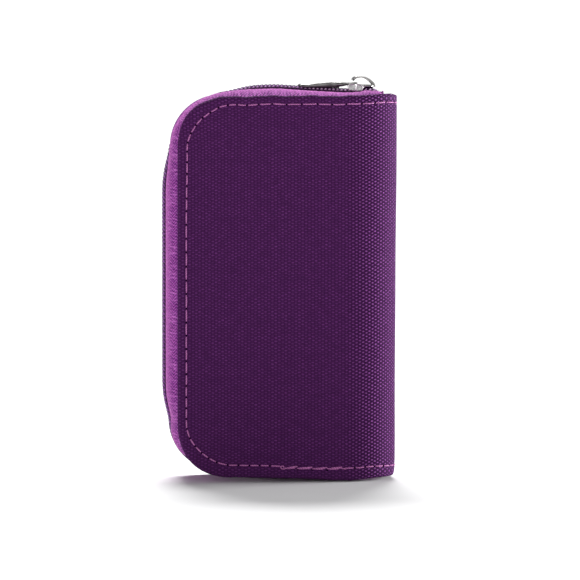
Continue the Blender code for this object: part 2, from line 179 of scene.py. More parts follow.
def tube(path, radius, sides=8, flat=1.0, up=None, close=False):
    """Round tube along a path, with end caps; returns verts, faces, (s, angle)."""
    p = np.asarray(path, float)
    n = len(p)
    r = np.broadcast_to(np.asarray(radius, float), (n,))
    if close:
        d = np.roll(p, -1, 0) - np.roll(p, 1, 0)
    else:
        d = np.gradient(p, axis=0)
    d /= np.linalg.norm(d, axis=1)[:, None] + 1e-12
    if up is None:
        ref = np.array([0.31, 0.57, 0.76])
        u = ref - (d @ ref)[:, None] * d
        u0 = u[0] / np.linalg.norm(u[0])
        us = [u0]
        for i in range(1, n):
            a = us[-1] - (us[-1] @ d[i]) * d[i]
            us.append(a / (np.linalg.norm(a) + 1e-12))
        u = np.array(us)
    else:
        u = np.broadcast_to(np.asarray(up, float), (n, 3))
        u = u - np.sum(u * d, 1)[:, None] * d
        u = u / (np.linalg.norm(u, axis=1)[:, None] + 1e-12)
    w = np.cross(d, u)
    ang = np.linspace(0, 2 * math.pi, sides, endpoint=False)
    ring = (np.cos(ang)[None, :, None] * w[:, None, :]
            + flat * np.sin(ang)[None, :, None] * u[:, None, :])
    v = p[:, None, :] + ring * r[:, None, None]
    seg = np.linalg.norm(np.diff(p, axis=0), axis=1)
    s = np.concatenate([[0], np.cumsum(seg)])
    att = np.zeros((n, sides, 3))
    att[:, :, 0] = s[:, None]
    att[:, :, 1] = ang[None, :]
    att[:, :, 2] = r[:, None]
    f = grid_faces(n, sides, 0, close, True)
    if not close:
        f.append(tuple(range(sides))[::-1])
        f.append(tuple((n - 1) * sides + i for i in range(sides)))
    return v.reshape(-1, 3), f, att.reshape(-1, 3)


# ---------------------------------------------------------- the cover's skin
_t = np.linspace(0, math.pi / 2, 600)
_sx = CX + CURVE_A * np.sin(_t)
_sy = -(SPINE_FLAT + CURVE_B * np.cos(_t))
_arc = np.concatenate([[0], np.cumsum(np.hypot(np.diff(_sx), np.diff(_sy)))])
U_FLAT = CX - XF
U_SH = U_FLAT + _arc[-1]
U_END = U_SH + SPINE_FLAT


def table(xs, ys, width):
    """Smooth function through a few values, by blurring straight lines."""
    g = np.linspace(-5, 85, 1801)
    y = np.interp(g, xs, ys)
    k = max(1, int(width / 0.05))
    w = np.hanning(2 * k + 1)
    w /= w.sum()
    y = np.convolve(np.pad(y, k, mode="edge"), w, mode="valid")
    return lambda u: np.interp(u, g, y)


_zb_front = table([0, 17.8, 35.8, 47.8, 52.0, 56.5, 62, 80],
                  [1.3, 1.25, 0.70, 0.05, 0.30, 0.78, 0.80, 0.75], 4.0)
_zt_front = table([0, 15, 30, 40, 48, 53, 58, 62, 66, 68, 80],
                  [107.5, 107.55, 107.72, 107.62, 107.5, 107.65, 107.90, 107.72,
                   107.2, 107.0, 106.95], 3.0)
_zb_back = table([0, 20, 48, 54, 61, 80], [1.0, 0.5, 0.0, 0.5, 0.80, 0.75], 4.0)
_zt_back = table([0, 15, 30, 46, 53, 60, 66, 80],
                 [107.3, 107.4, 107.3, 107.15, 106.7, 106.35, 106.85, 106.95], 4.0)


def z_edges(u, side):
    if side < 0:
        zb = _zb_front(u)
        zt = _zt_front(u) + 0.10 * np.sin(u / 1.9 + 0.6) * smooth((60 - u) / 10) \
            + 0.07 * np.sin(u / 0.83) * smooth((60 - u) / 10)
    else:
        zb = _zb_back(u)
        zt = _zt_back(u) + 0.10 * np.sin(u / 2.3 + 1.6) * smooth((60 - u) / 10)
    return zb, zt


def profile(u, e):
    """x, y of the front skin at unrolled distance u, depth e; and normals."""
    u = np.asarray(u, float)
    e = np.asarray(e, float)
    t = np.interp(u - U_FLAT, _arc, _t)
    sx, sy = CX + CURVE_A * np.sin(t), -(SPINE_FLAT + CURVE_B * np.cos(t))
    nx, ny = CURVE_B * np.sin(t), -CURVE_A * np.cos(t)
    ln = np.hypot(nx, ny)
    nx, ny = nx / ln, ny / ln
    flat, back = u < U_FLAT, u > U_SH
    x = np.where(flat, XF + u, np.where(back, HX, sx))
    y = np.where(flat, -HALF_T, np.where(back, -(SPINE_FLAT - (u - U_SH)), sy))
    nx = np.where(flat, 0.0, np.where(back, 1.0, nx))
    ny = np.where(flat, -1.0, np.where(back, 0.0, ny))
    return x - nx * e, y - ny * e, nx, ny


def waves(u, z, side):
    """Slow unevenness of the stretched cloth, in mm, positive outwards."""
    a = 0.10 * np.sin(u / 9.1 + 0.8 * side) * np.sin(z / 13.0 + 1.1)
    b = 0.06 * np.sin(u / 4.3 + z / 17.0 + side)
    c = 0.05 * np.sin(z / 6.1 - u / 11.0)
    return a + b + c


def skin(u, zz, e, side=-1, wavy=1.0):
    """3-D point (mm) of the cover at unrolled (u, zz), depth e.

    zz runs 0..H between the real bottom and top edges. side -1 front, 1 back.
    """
    u, zz, e = np.broadcast_arrays(np.asarray(u, float), np.asarray(zz, float),
                                   np.asarray(e, float))
    zb, zt = z_edges(u, side)
    z = zb + (zt - zb) * zz / H
    on_spine = smooth((u - U_FLAT - 9) / (U_SH - U_FLAT - 9))
    tuck = 0.32 * on_spine * (1 - smooth((zz - 0.1) / 1.7))
    edge = smooth(np.minimum(np.minimum(zz, H - zz) / 6, 1)) \
        * smooth(np.clip(u / 8, 0, 1)) * smooth((U_END - u) / 9)
    x, y, nx, ny = profile(u, e + tuck - wavy * edge * waves(u, zz, side))
    x = x + (0.22 - 0.62 * (1 - zz / H)) * smooth((u - U_FLAT) / (U_SH - U_FLAT)) \
        + 0.36 * (1 - smooth(u / 25.0))
    du, dz = np.clip(R - u, 0, None), np.clip(zz - (H - R), 0, None)
    th = np.arctan2(dz, du + 1e-9)
    push = (0.85 if side < 0 else 0.0) * np.sin(2 * th) ** 2 \
        * (np.hypot(du, dz) / R) ** 2
    x, z = x - push * np.cos(th), z + push * np.sin(th)
    dz = np.clip(R - zz, 0, None)
    th = np.arctan2(dz, du + 1e-9)
    push = (0.50 if side < 0 else 0.15) * np.sin(2 * th) ** 2 \
        * (np.hypot(du, dz) / R) ** 2
    x, z = x - push * np.cos(th), z - push * np.sin(th)
    if side > 0:
        # the back panel's top corner is cut rounder
        k = R_BACK - R
        du, dz = np.clip(R_BACK - u, 0, None), np.clip(zz - (H - R_BACK), 0, None)
        th = np.arctan2(dz, du + 1e-9)
        c, s = np.cos(th), np.sin(th)
        old = k * (c + s) + np.sqrt(np.maximum(
            k * k * (c + s) ** 2 - 2 * k * k + R * R, 0))
        old = np.minimum(old, R_BACK / np.maximum(np.maximum(c, s), 1e-6))
        old = np.where((np.minimum(c, s) * R_BACK / np.maximum(c, s)) < k,
                       R_BACK / np.maximum(c, s), old)
        far = np.hypot(du, dz) / old
        push = -(old - R_BACK) * far ** 2
        x, z = x - push * c, z + push * s
    return np.stack([x, -side * y, z], -1)


def skin_normal(u, zz, side=-1):
    _, _, nx, ny = profile(u, 0.0)
    return np.stack([nx, -side * ny, np.zeros_like(nx)], -1)


def outline(step=1.2, arc_steps=22):
    """Stations of the edge from the spine along top, fore-edge and bottom.

    Rows: u, zz, outward nu, outward nz.
    """
    us = np.linspace(U_END, R, int((U_END - R) / step) + 1)
    zs = np.linspace(H - R, R, int((H - 2 * R) / step) + 1)
    rows = [(u, H, 0.0, 1.0) for u in us]
    for k in range(1, arc_steps):
        a = math.radians(90 + 90 * k / arc_steps)
        rows.append((R + R * math.cos(a), H - R + R * math.sin(a),
                     math.cos(a), math.sin(a)))
    rows += [(0.0, z, -1.0, 0.0) for z in zs]
    for k in range(1, arc_steps):
        a = math.radians(180 + 90 * k / arc_steps)
        rows.append((R + R * math.cos(a), R + R * math.sin(a),
                     math.cos(a), math.sin(a)))
    rows += [(u, 0.0, 0.0, -1.0) for u in us[::-1]]
    return np.array(rows), us, zs


def stitch_inset(st):
    """Distance of the topstitch from the edge at stations st."""
    low = smooth((-st[:, 3] - 0.25) / 0.75)
    turn = np.abs(2 * st[:, 2] * st[:, 3])
    return 2.35 + low * (1.15 - 0.5 * smooth((st[:, 0] - 49) / 15)) \
        + (1.0 - 0.45 * low) * turn ** 1.3 \
        + 0.25 * smooth((st[:, 1] - 70) / 20) * (st[:, 2] < -0.99)


def cover_sheet(side, insets, depth, valley=0.0, edge_rows=(), floor_inset=0.0,
                step=1.2):
    """Open sheet over one cover half: verts, faces, weave coordinates.

    edge_rows: (inset, depth, cloth distance) from the hem round the roll.
    insets: further insets relative to the stitch line, then up to R.
    """
    st, us, zs = outline(step)
    ins = stitch_inset(st)
    K = len(st)
    cols = []                                      # (inset, depth, along)
    fac = 1 - 0.42 * smooth((st[:, 0] - U_FLAT - 4) / 14)
    for d, e, a in edge_rows:
        cols.append((d * fac if d < 1.4 else np.full(K, d), e * fac,
                     np.full(K, a)))
    for rel in insets:
        d = ins + rel
        g = valley * math.exp(-(rel / 0.42) ** 2)
        cols.append((d, np.full(K, depth + g), d))
    last = ins + (insets[-1] if insets else floor_inset)
    for f in np.linspace(0, 1, 9)[1:]:
        d = last + (R - last) * f
        cols.append((d, np.full(K, depth), d))
    index, plan, faces = {}, [], []

    def vid(u, z, e, wu, wz):
        key = (round(float(u), 3), round(float(z), 3), round(float(e), 3))
        if key not in index:
            index[key] = len(plan)
            plan.append((u, z, e, wu, wz))
        return index[key]

    ids = np.zeros((K, len(cols)), int)
    for j, (d, e, a) in enumerate(cols):
        for k in range(K):
            u, z, nu, nz = st[k]
            ids[k, j] = vid(u - nu * d[k], z - nz * d[k], e[k],
                            u - nu * a[k], z - nz * a[k])
    for k in range(K - 1):
        for j in range(len(cols) - 1):
            f = [ids[k, j], ids[k + 1, j], ids[k + 1, j + 1], ids[k, j + 1]]
            f = [x for i, x in enumerate(f) if x not in f[:i]]
            if len(f) >= 3:
                faces.append(tuple(f))
    mid = np.zeros((len(us), len(zs)), int)
    for i, u in enumerate(us):
        for j, z in enumerate(zs):
            mid[i, j] = vid(u, z, depth, u, z)
    for i in range(len(us) - 1):
        for j in range(len(zs) - 1):
            faces.append((mid[i, j], mid[i + 1, j], mid[i + 1, j + 1],
                          mid[i, j + 1]))
    plan = np.array(plan)
    v = skin(plan[:, 0], plan[:, 1], plan[:, 2], side)
    weave = np.stack([plan[:, 3], plan[:, 4], np.zeros(len(plan))], -1)
    if side > 0:
        faces = [f[::-1] for f in faces]
    return v, faces, weave


def roll_rows(r=ROLL, hem=4.2):
    """The turned edge: (inset, depth, distance along the cloth)."""
    rows = []
    half = math.pi * r
    for d in (hem, 2.6, 1.6):
        rows.append((d, 2 * r, -(half - r) - (d - r)))
    for k in range(0, 9):
        a = math.radians(-90 + 180 * k / 8)
        s = r * (math.pi / 2 - a)
        rows.append((r - r * math.cos(a), r - r * math.sin(a), r - s))
    rows.append((1.35, 0.0, 1.35))
    return rows


def blend_cover(ob):
    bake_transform(ob)
    return ob


# ----------------------------------------------------------------- materials
class Mat:
    def __init__(self, name, rough=0.6, metal=0.0, spec=0.5):
        self.m = bpy.data.materials.new(name)
        self.m.use_nodes = True
        self.t = self.m.node_tree
        self.p = next(n for n in self.t.nodes if n.type == "BSDF_PRINCIPLED")
        self.p.inputs["Roughness"].default_value = rough
        self.p.inputs["Metallic"].default_value = metal
        self.p.inputs["Specular IOR Level"].default_value = spec

    def put(self, socket, value):
        if isinstance(value, bpy.types.NodeSocket):
            self.t.links.new(value, socket)
        elif isinstance(value, (tuple, list)):
            socket.default_value = (*value, 1.0)[:len(socket.default_value)]
        else:
            socket.default_value = value

    def math(self, op, a, b=None, c=None, clamp=False):
        n = self.t.nodes.new("ShaderNodeMath")
        n.operation = op
        n.use_clamp = clamp
        for i, x in enumerate((a, b, c)):
            if x is not None:
                self.put(n.inputs[i], x)
        return n.outputs[0]

    def attr(self, name):
        n = self.t.nodes.new("ShaderNodeAttribute")
        n.attribute_name = name
        s = self.t.nodes.new("ShaderNodeSeparateXYZ")
        self.t.links.new(n.outputs["Vector"], s.inputs[0])
        return n.outputs["Vector"], s.outputs[0], s.outputs[1], s.outputs[2]

    def obj(self):
        n = self.t.nodes.new("ShaderNodeTexCoord")
        s = self.t.nodes.new("ShaderNodeSeparateXYZ")
        self.t.links.new(n.outputs["Object"], s.inputs[0])
        return n.outputs["Object"], s.outputs[0], s.outputs[1], s.outputs[2]

    def combine(self, x, y, z):
        n = self.t.nodes.new("ShaderNodeCombineXYZ")
        for i, v in enumerate((x, y, z)):
            self.put(n.inputs[i], v)
        return n.outputs[0]

    def noise(self, vec, scale, detail=2.0, rough=0.5, stretch=None):
        if stretch:
            mp = self.t.nodes.new("ShaderNodeMapping")
            mp.inputs["Scale"].default_value = stretch
            self.t.links.new(vec, mp.inputs["Vector"])
            vec = mp.outputs[0]
        n = self.t.nodes.new("ShaderNodeTexNoise")
        n.inputs["Scale"].default_value = scale
        n.inputs["Detail"].default_value = detail
        n.inputs["Roughness"].default_value = rough
        self.t.links.new(vec, n.inputs["Vector"])
        return n.outputs["Fac"]

    def mix(self, f, a, b):
        n = self.t.nodes.new("ShaderNodeMix")
        n.data_type = "RGBA"
        self.put(n.inputs["Factor"], f)
        self.put(n.inputs[6], a)
        self.put(n.inputs[7], b)
        return n.outputs[2]

    def remap(self, x, a, b, c, d):
        n = self.t.nodes.new("ShaderNodeMapRange")
        for i, v in enumerate((x, a, b, c, d)):
            self.put(n.inputs[i], v)
        return n.outputs[0]

    def bump(self, height, distance, strength=1.0, normal=None):
        n = self.t.nodes.new("ShaderNodeBump")
        n.inputs["Distance"].default_value = distance
        n.inputs["Strength"].default_value = strength
        self.t.links.new(height, n.inputs["Height"])
        if normal is not None:
            self.t.links.new(normal, n.inputs["Normal"])
        return n.outputs[0]

    def colour(self, c):
        self.put(self.p.inputs["Base Color"], c)

    def normal(self, n):
        self.t.links.new(n, self.p.inputs["Normal"])

    def sheen(self, weight, rough, tint):
        self.p.inputs["Sheen Weight"].default_value = weight
        self.p.inputs["Sheen Roughness"].default_value = rough
        self.p.inputs["Sheen Tint"].default_value = (*tint, 1.0)

    def weave(self, x, y, a, b):
        """Plain weave with cells a wide and b high: height, parity, fx, fy."""
        gx, gy = self.math("DIVIDE", x, a), self.math("DIVIDE", y, b)
        i, j = self.math("FLOOR", gx), self.math("FLOOR", gy)
        fx = self.math("MULTIPLY_ADD", self.math("SUBTRACT", gx, i), 2.0, -1.0)
        fy = self.math("MULTIPLY_ADD", self.math("SUBTRACT", gy, j), 2.0, -1.0)
        par = self.math("MODULO", self.math("ADD", self.math("ADD", i, j),
                                            4000.0), 2.0)
        par = self.math("GREATER_THAN", par, 0.5)
        ex = self.math("SUBTRACT", 1.0, self.math("MULTIPLY", fx, fx))
        ey = self.math("SUBTRACT", 1.0, self.math("MULTIPLY", fy, fy))
        h = self.math("POWER", self.math("MAXIMUM", self.math(
            "MULTIPLY", ex, ey), 0.0001), 0.5)
        return h, par, fx, fy


def srgb(r, g, b, k=1.0):
    out = []
    for c in (r, g, b):
        c /= 255.0
        out.append(k * (c / 12.92 if c <= 0.04045
                        else ((c + 0.055) / 1.055) ** 2.4))
    return tuple(out)


def outer_material():
    m = Mat("outer_weave", rough=0.62, spec=0.03)
    vec, u, z, _ = m.attr("weave")
    drift = m.noise(vec, 0.05, 3.0)
    wob_u = m.noise(vec, 0.35, 2.0)
    uu = m.math("MULTIPLY_ADD", m.math("SUBTRACT", wob_u, 0.5), 0.28, u)
    zz = m.math("MULTIPLY_ADD", m.math("SUBTRACT", drift, 0.5), 0.9, z)
    wob_z = m.noise(vec, 0.8, 2.0)
    zz = m.math("MULTIPLY_ADD", m.math("SUBTRACT", wob_z, 0.5), 0.42, zz)
    h, par, fx, fy = m.weave(uu, zz, 0.94, 0.495)
    # fibres along each yarn
    fib_w = m.noise(vec, 1.0, 2.0, 0.6, (1.6, 16.0, 1.0))
    fib_v = m.noise(vec, 1.0, 2.0, 0.6, (16.0, 1.6, 1.0))
    fib = m.math("ADD", m.math("MULTIPLY", fib_w, m.math("SUBTRACT", 1.0, par)),
                 m.math("MULTIPLY", fib_v, par))
    # round the spine the weave opens and its floats stand prouder
    opened = m.remap(u, 45.0, 57.0, 0.0, 1.0)
    opened.node.interpolation_type = "SMOOTHSTEP"
    over = m.math("SUBTRACT", 1.0, par)
    amp = m.math("MULTIPLY_ADD", par, m.math("MULTIPLY_ADD", opened, -0.35, -0.5),
                 1.0)
    height = m.math("MULTIPLY", h, amp)
    height = m.math("MULTIPLY_ADD", fib, 0.14, height)
    m.normal(m.bump(height, 0.00030, 1.0))
    # painted shade: the cloth is darker where the weave lies low, between the floats
    dark, base, light = (0.036, 0.0062, 0.047), (0.071, 0.0148, 0.090), \
        (0.145, 0.0325, 0.174)
    c = m.mix(m.remap(height, 0.1, 0.72, 0.0, 1.0), dark, base)
    # painted highlight: the floats are painted lighter, unevenly, in small patches
    patch = m.remap(m.noise(vec, 0.42, 3.0, 0.6), 0.36, 0.64, 0.32, 1.25)
    c = m.mix(m.math("MULTIPLY", m.math("MULTIPLY", over, patch),
                     m.remap(h, 0.35, 0.95, 0.0, 0.78)), c, light)
    # painted shade in the gaps between the floats, round the spine
    gap = m.math("SUBTRACT", 1.0, m.math("MULTIPLY", over,
                                         m.remap(h, 0.25, 0.75, 0.0, 1.0)))
    close = m.remap(u, 55.0, 62.0, 0.72, 0.10)
    c = m.mix(m.math("MULTIPLY", gap, m.math("MULTIPLY", opened, close)), c,
              (0.020, 0.0014, 0.030))
    # painted highlight: a round light spot on the crown of each float
    rr = m.math("ADD", m.math("MULTIPLY", m.math("MULTIPLY", fx, 0.47),
                              m.math("MULTIPLY", fx, 0.47)),
                m.math("MULTIPLY", m.math("MULTIPLY", fy, 0.25),
                       m.math("MULTIPLY", fy, 0.25)))
    dot = m.math("MULTIPLY", over, m.remap(rr, 0.015, 0.085, 1.0, 0.0))
    faint = m.remap(u, 55.0, 62.0, 0.95, 0.42)
    c = m.mix(m.math("MULTIPLY", dot, m.math("MULTIPLY", opened, faint)), c,
              (0.275, 0.080, 0.320))
    c = m.mix(m.remap(m.noise(vec, 0.9, 2.0), 0.35, 0.7, 0.0, 0.18), c,
              (0.062, 0.008, 0.056))
    m.colour(c)
    m.put(m.p.inputs["Roughness"], m.remap(fib, 0.3, 0.7, 0.5, 0.72))
    m.sheen(0.015, 0.35, (0.75, 0.35, 0.85))
    return m.m


def tape_material():
    """Zip tape: a narrow herringbone with a satin lustre."""
    m = Mat("tape_weave", rough=0.7, spec=0.05)
    vec, u, w, _ = m.attr("weave")
    n = m.noise(vec, 0.55, 3.0, 0.6)
    blot = m.noise(vec, 1.15, 3.0, 0.65)
    streak = m.noise(vec, 1.0, 2.0, 0.6, (1.9, 0.16, 1.0))
    patch = m.noise(vec, 1.0, 2.0, 0.5, (0.32, 0.07, 1.0))
    # slanted ridges right across the tape, where it is drawn over the edge
    rp = m.math("MULTIPLY_ADD", w, 0.26, u)
    rp = m.math("MULTIPLY_ADD", streak, 1.1, rp)
    ridge = m.math("MULTIPLY_ADD", m.math("SINE", m.math(
        "MULTIPLY", rp, 2 * math.pi / 1.05)), 0.5, 0.5)
    # herringbone: slanted floats that turn back every 1.5 mm
    tri = m.math("PINGPONG", m.math("MULTIPLY_ADD", n, 0.9, w), 1.5)
    ph = m.math("MULTIPLY", m.math("ADD", u, m.math("MULTIPLY", tri, 0.75)),
                2 * math.pi / 0.86)
    ph = m.math("MULTIPLY_ADD", blot, 2.6, ph)
    twill = m.math("MULTIPLY_ADD", m.math("SINE", ph), 0.5, 0.5)
    h, par, fx, fy = m.weave(u, w, 0.42, 0.36)
    height = m.math("MULTIPLY_ADD", twill, 0.8, m.math(
        "MULTIPLY", h, m.math("MULTIPLY_ADD", par, -0.35, 0.6)))
    height = m.math("MULTIPLY_ADD", ridge, 0.7, height)
    m.normal(m.bump(height, 0.00018, 1.0))
    tone = m.math("MULTIPLY_ADD", twill, 0.55, m.math("MULTIPLY", blot, 0.75))
    c = m.mix(m.remap(tone, 0.28, 0.92, 0.0, 1.0), (0.150, 0.012, 0.165),
              (0.385, 0.060, 0.385))
    # painted shade in the troughs of the ridges, over the inner part of the tape
    inner = m.remap(w, 4.0, 6.5, 1.0, 0.25)
    c = m.mix(m.math("MULTIPLY", inner, m.remap(ridge, 0.52, 0.05, 0.0, 0.85)), c,
              (0.085, 0.005, 0.120))
    # painted satin lustre: light streaks are painted highlights, dark streaks painted
    # shade
    c = m.mix(m.remap(streak, 0.50, 0.74, 0.0, 0.75), c, (0.70, 0.205, 0.70))
    c = m.mix(m.remap(streak, 0.50, 0.28, 0.0, 0.60), c, (0.130, 0.008, 0.160))
    c = m.mix(m.remap(patch, 0.35, 0.65, 0.30, 0.0), c, (0.170, 0.012, 0.230))
    # painted highlights: lighter spots on the crowns of the floats
    c = m.mix(m.math("MULTIPLY", m.remap(tone, 0.74, 0.98, 0.0, 1.0), 0.45), c,
              (0.78, 0.27, 0.78))
    # painted highlight: paler along its outer half, where it bends over
    c = m.mix(m.remap(w, 3.4, 8.0, 0.0, 0.52), c, (0.74, 0.235, 0.66))
    # painted shade: darker where it is sewn in under the panel's edge
    c = m.mix(m.remap(w, 0.2, 1.5, 0.62, 0.0), c, (0.085, 0.006, 0.125))
    # in shade under the teeth
    c = m.mix(m.remap(w, 10.3, 10.9, 0.0, 0.85), c, (0.030, 0.002, 0.050))
    m.colour(c)
    m.put(m.p.inputs["Roughness"], m.remap(tone, 0.2, 1.0, 0.78, 0.5))
    m.sheen(0.03, 0.4, (0.9, 0.4, 0.95))
    return m.m


def coil_material():
    m = Mat("coil_nylon", rough=0.42, spec=0.07)
    vec, s, ang, r = m.attr("thread")
    o, x, y, z = m.obj()
    n = m.noise(o, 900.0, 2.0)
    # painted glint: the outer ends of the loops are painted pale along the top, most of
    # all where the tab's shadow falls
    painted_glint = m.math("MULTIPLY", m.remap(z, 0.100, 0.109, 0.0, 1.0),
                  m.math("MULTIPLY", m.remap(ang, 0.55, 0.9, 0.0, 1.0),
                         m.remap(x, 0.0065, 0.0095, 0.34, 1.0)))
    lo = m.mix(painted_glint, (0.150, 0.040, 0.210), (0.600, 0.340, 0.580))
    hi = m.mix(painted_glint, (0.300, 0.110, 0.380), (0.920, 0.620, 0.900))
    c = m.mix(m.remap(n, 0.35, 0.7, 0.0, 1.0), lo, hi)
    # painted shade where a loop dips to the tape
    c = m.mix(m.remap(r, 0.34, 0.56, 0.0, 0.97), c, (0.030, 0.0005, 0.040))
    m.colour(c)
    m.put(m.p.inputs["Roughness"], m.remap(n, 0.3, 0.7, 0.22, 0.40))
    m.normal(m.bump(m.noise(o, 2600.0, 2.0), 0.00003, 0.6))
    return m.m


def thread_material(name, dark, light, ply=2.0):
    m = Mat(name, rough=0.5, spec=0.45)
    vec, s, ang, r = m.attr("thread")
    twist = m.math("SINE", m.math("ADD", m.math("MULTIPLY", s, 9.5),
                                  m.math("MULTIPLY", ang, ply)))
    n = m.noise(vec, 3.0, 2.0)
    h = m.math("MULTIPLY_ADD", twist, 0.5, n)
    m.normal(m.bump(h, 0.00006, 0.9))
    m.colour(m.mix(m.remap(h, -0.1, 1.0, 0.0, 1.0), dark, light))
    m.sheen(0.3, 0.4, light)
    return m.m


def lining_material(name, dark, light, a=0.26, b=0.22):
    m = Mat(name, rough=0.48, spec=0.45)
    vec, u, w, _ = m.attr("weave")
    h, par, fx, fy = m.weave(u, w, a, b)
    n = m.noise(vec, 0.16, 3.0, 0.6)
    fine = m.noise(vec, 1.0, 1.0, 0.5, (0.4, 9.0, 1.0))
    m.normal(m.bump(m.math("MULTIPLY_ADD", n, 1.3, m.math(
        "MULTIPLY_ADD", fine, 0.4, h)), 0.00009, 0.65))
    c = m.mix(m.remap(h, 0.1, 0.95, 0.0, 1.0), dark, light)
    c = m.mix(m.remap(n, 0.3, 0.75, 0.0, 0.35), c,
              tuple(1.5 * x for x in light))
    m.colour(c)
    m.sheen(0.2, 0.3, (0.7, 0.5, 0.75))
    return m.m


def ribbed_material(name, dark, light, rib=0.62):
    """Woven tape with ribs across it: attribute x runs along the tape."""
    m = Mat(name, rough=0.55, spec=0.4)
    vec, u, w, _ = m.attr("weave")
    ph = m.math("MULTIPLY", u, 2 * math.pi / rib)
    ribs = m.math("MULTIPLY_ADD", m.math("SINE", ph), 0.5, 0.5)
    n = m.noise(vec, 1.0, 2.0, 0.5, (1.0, 7.0, 1.0))
    h = m.math("MULTIPLY_ADD", n, 0.3, ribs)
    m.normal(m.bump(h, 0.0001, 0.8))
    m.colour(m.mix(m.remap(h, 0.1, 1.2, 0.0, 1.0), dark, light))
    m.sheen(0.25, 0.35, (0.7, 0.5, 0.75))
    return m.m


def metal_material(name="plated_metal", k=1.0, rough=0.0, under=False):
    m = Mat(name, rough=0.16, metal=1.0)
    o, x, y, z = m.obj()
    n = m.noise(o, 320.0, 3.0, 0.55)
    scr = m.noise(o, 1.0, 2.0, 0.5, (260.0, 2600.0, 1800.0))
    c = m.mix(m.remap(n, 0.3, 0.75, 0.0, 1.0), tuple(k * x for x in (0.56, 0.56, 0.55)),
              tuple(k * x for x in (0.44, 0.43, 0.42)))
    if under:
        # painted shade: darker on its under side
        vec, tu, tw, th = m.attr("thread")
        c = m.mix(m.remap(m.math("MULTIPLY_ADD", n, 0.2, th), -0.55, 0.25, 0.85, 0.0),
                  c, (0.020, 0.012, 0.017))
    m.colour(c)
    m.put(m.p.inputs["Roughness"], m.remap(m.math(
        "MULTIPLY_ADD", scr, 0.5, n), 0.45, 1.0, 0.12 + rough, 0.28 + rough))
    m.normal(m.bump(m.math("MULTIPLY_ADD", scr, 0.25, n), 0.00006, 0.35))
    return m.m


def lip_material():
    """Plated casting: rims painted bright as highlight, hollows matt, pitted and
    painted darker as shade.
    """
    m = Mat("cast_lips", rough=0.3, metal=0.80)
    vec, low, _, _ = m.attr("thread")
    o, x, y, z = m.obj()
    n = m.noise(o, 900.0, 3.0, 0.6)
    hollow = m.mix(m.remap(n, 0.3, 0.7, 0.0, 1.0), (0.27, 0.285, 0.27),
                   (0.52, 0.545, 0.52))
    # painted highlight on the rims, painted shade in the hollows
    m.colour(m.mix(low, (0.93, 0.93, 0.92), hollow))
    m.put(m.p.inputs["Roughness"], m.math("MULTIPLY_ADD", low, 0.22, 0.24))
    m.normal(m.bump(n, 0.00005, 0.5))
    return m.m


def board_material():
    m = Mat("grey_board", rough=0.85, spec=0.2)
    o, x, y, z = m.obj()
    n = m.noise(o, 900.0, 4.0, 0.65)
    f = m.noise(o, 1.0, 2.0, 0.6, (420.0, 900.0, 90.0))
    m.colour(m.mix(m.remap(m.math("ADD", n, f), 0.7, 1.3, 0.0, 1.0),
                   (0.30, 0.28, 0.25), (0.52, 0.50, 0.46)))
    m.normal(m.bump(n, 0.00008, 0.7))
    return m.m


def plastic_material():
    m = Mat("moulded_stop", rough=0.38, spec=0.5)
    o, x, y, z = m.obj()
    n = m.noise(o, 700.0, 3.0, 0.5)
    m.colour(m.mix(m.remap(n, 0.3, 0.7, 0.0, 1.0), (0.040, 0.008, 0.052),
                   (0.080, 0.018, 0.100)))
    m.put(m.p.inputs["Roughness"], m.remap(n, 0.3, 0.7, 0.3, 0.48))
    m.normal(m.bump(n, 0.00004, 0.5))
    return m.m


def hole_material():
    m = Mat("needle_hole", rough=0.95, spec=0.0)
    vec, x, y, z = m.attr("weave")
    n = m.noise(vec, 4.0, 2.0)
    # near-black: painted shade inside the holes and the slider's throat
    m.colour(m.mix(n, (0.0045, 0.0006, 0.006), (0.009, 0.0012, 0.012)))
    m.normal(m.bump(n, 0.00005, 0.6))
    return m.m


def floor_material():
    m = Mat("paper_floor", rough=0.9, spec=0.1)
    o, x, y, z = m.obj()
    n = m.noise(o, 60.0, 3.0, 0.6)
    m.colour(m.mix(n, (0.75, 0.75, 0.755), (0.78, 0.78, 0.785)))
    m.normal(m.bump(n, 0.00006, 0.2))
    return m.m


MAT = {
    "outer": outer_material(),
    "tape": tape_material(),
    "coil": coil_material(),
    "topstitch": thread_material("topstitch_thread", (0.20, 0.043, 0.168),
                                 (0.56, 0.172, 0.47)),
    "inner_thread": thread_material("inner_thread", (0.045, 0.012, 0.052),
                                    (0.13, 0.05, 0.145)),
    "zip_thread": thread_material("zip_thread", (0.026, 0.004, 0.036),
                                  (0.085, 0.017, 0.105)),
    "hole": hole_material(),
    "lining": lining_material("lining_taffeta", (0.022, 0.008, 0.026),
                              (0.062, 0.026, 0.072)),
    "pocket": lining_material("pocket_taffeta", (0.030, 0.011, 0.036),
                              (0.082, 0.034, 0.096), 0.30, 0.26),
    "binding": ribbed_material("binding_ribbon", (0.026, 0.007, 0.032),
                               (0.080, 0.026, 0.094)),
    "metal": metal_material(),
    # the tab's under side is painted dark as shade
    "tab": metal_material("brushed_tab", 0.26, 0.16, True),
    "crown": metal_material("satin_crown", 0.60, 0.30),
    "lip": lip_material(),
    "board": board_material(),
    "stop": plastic_material(),
    "floor": floor_material(),
}


def dress(ob, mat):
    ob.data.materials.clear()
    ob.data.materials.append(MAT[mat])
    return ob


RNG = np.random.default_rng(11)


# ------------------------------------------------------------------ stitches
def resample(p, step):
    """Indices (as fractions) at equal distances along polyline p."""
    d = np.concatenate([[0], np.cumsum(np.linalg.norm(np.diff(p, axis=0),
                                                      axis=1))])
    n = max(1, int(round(d[-1] / step)))
    return d, np.linspace(0, d[-1], n + 1)


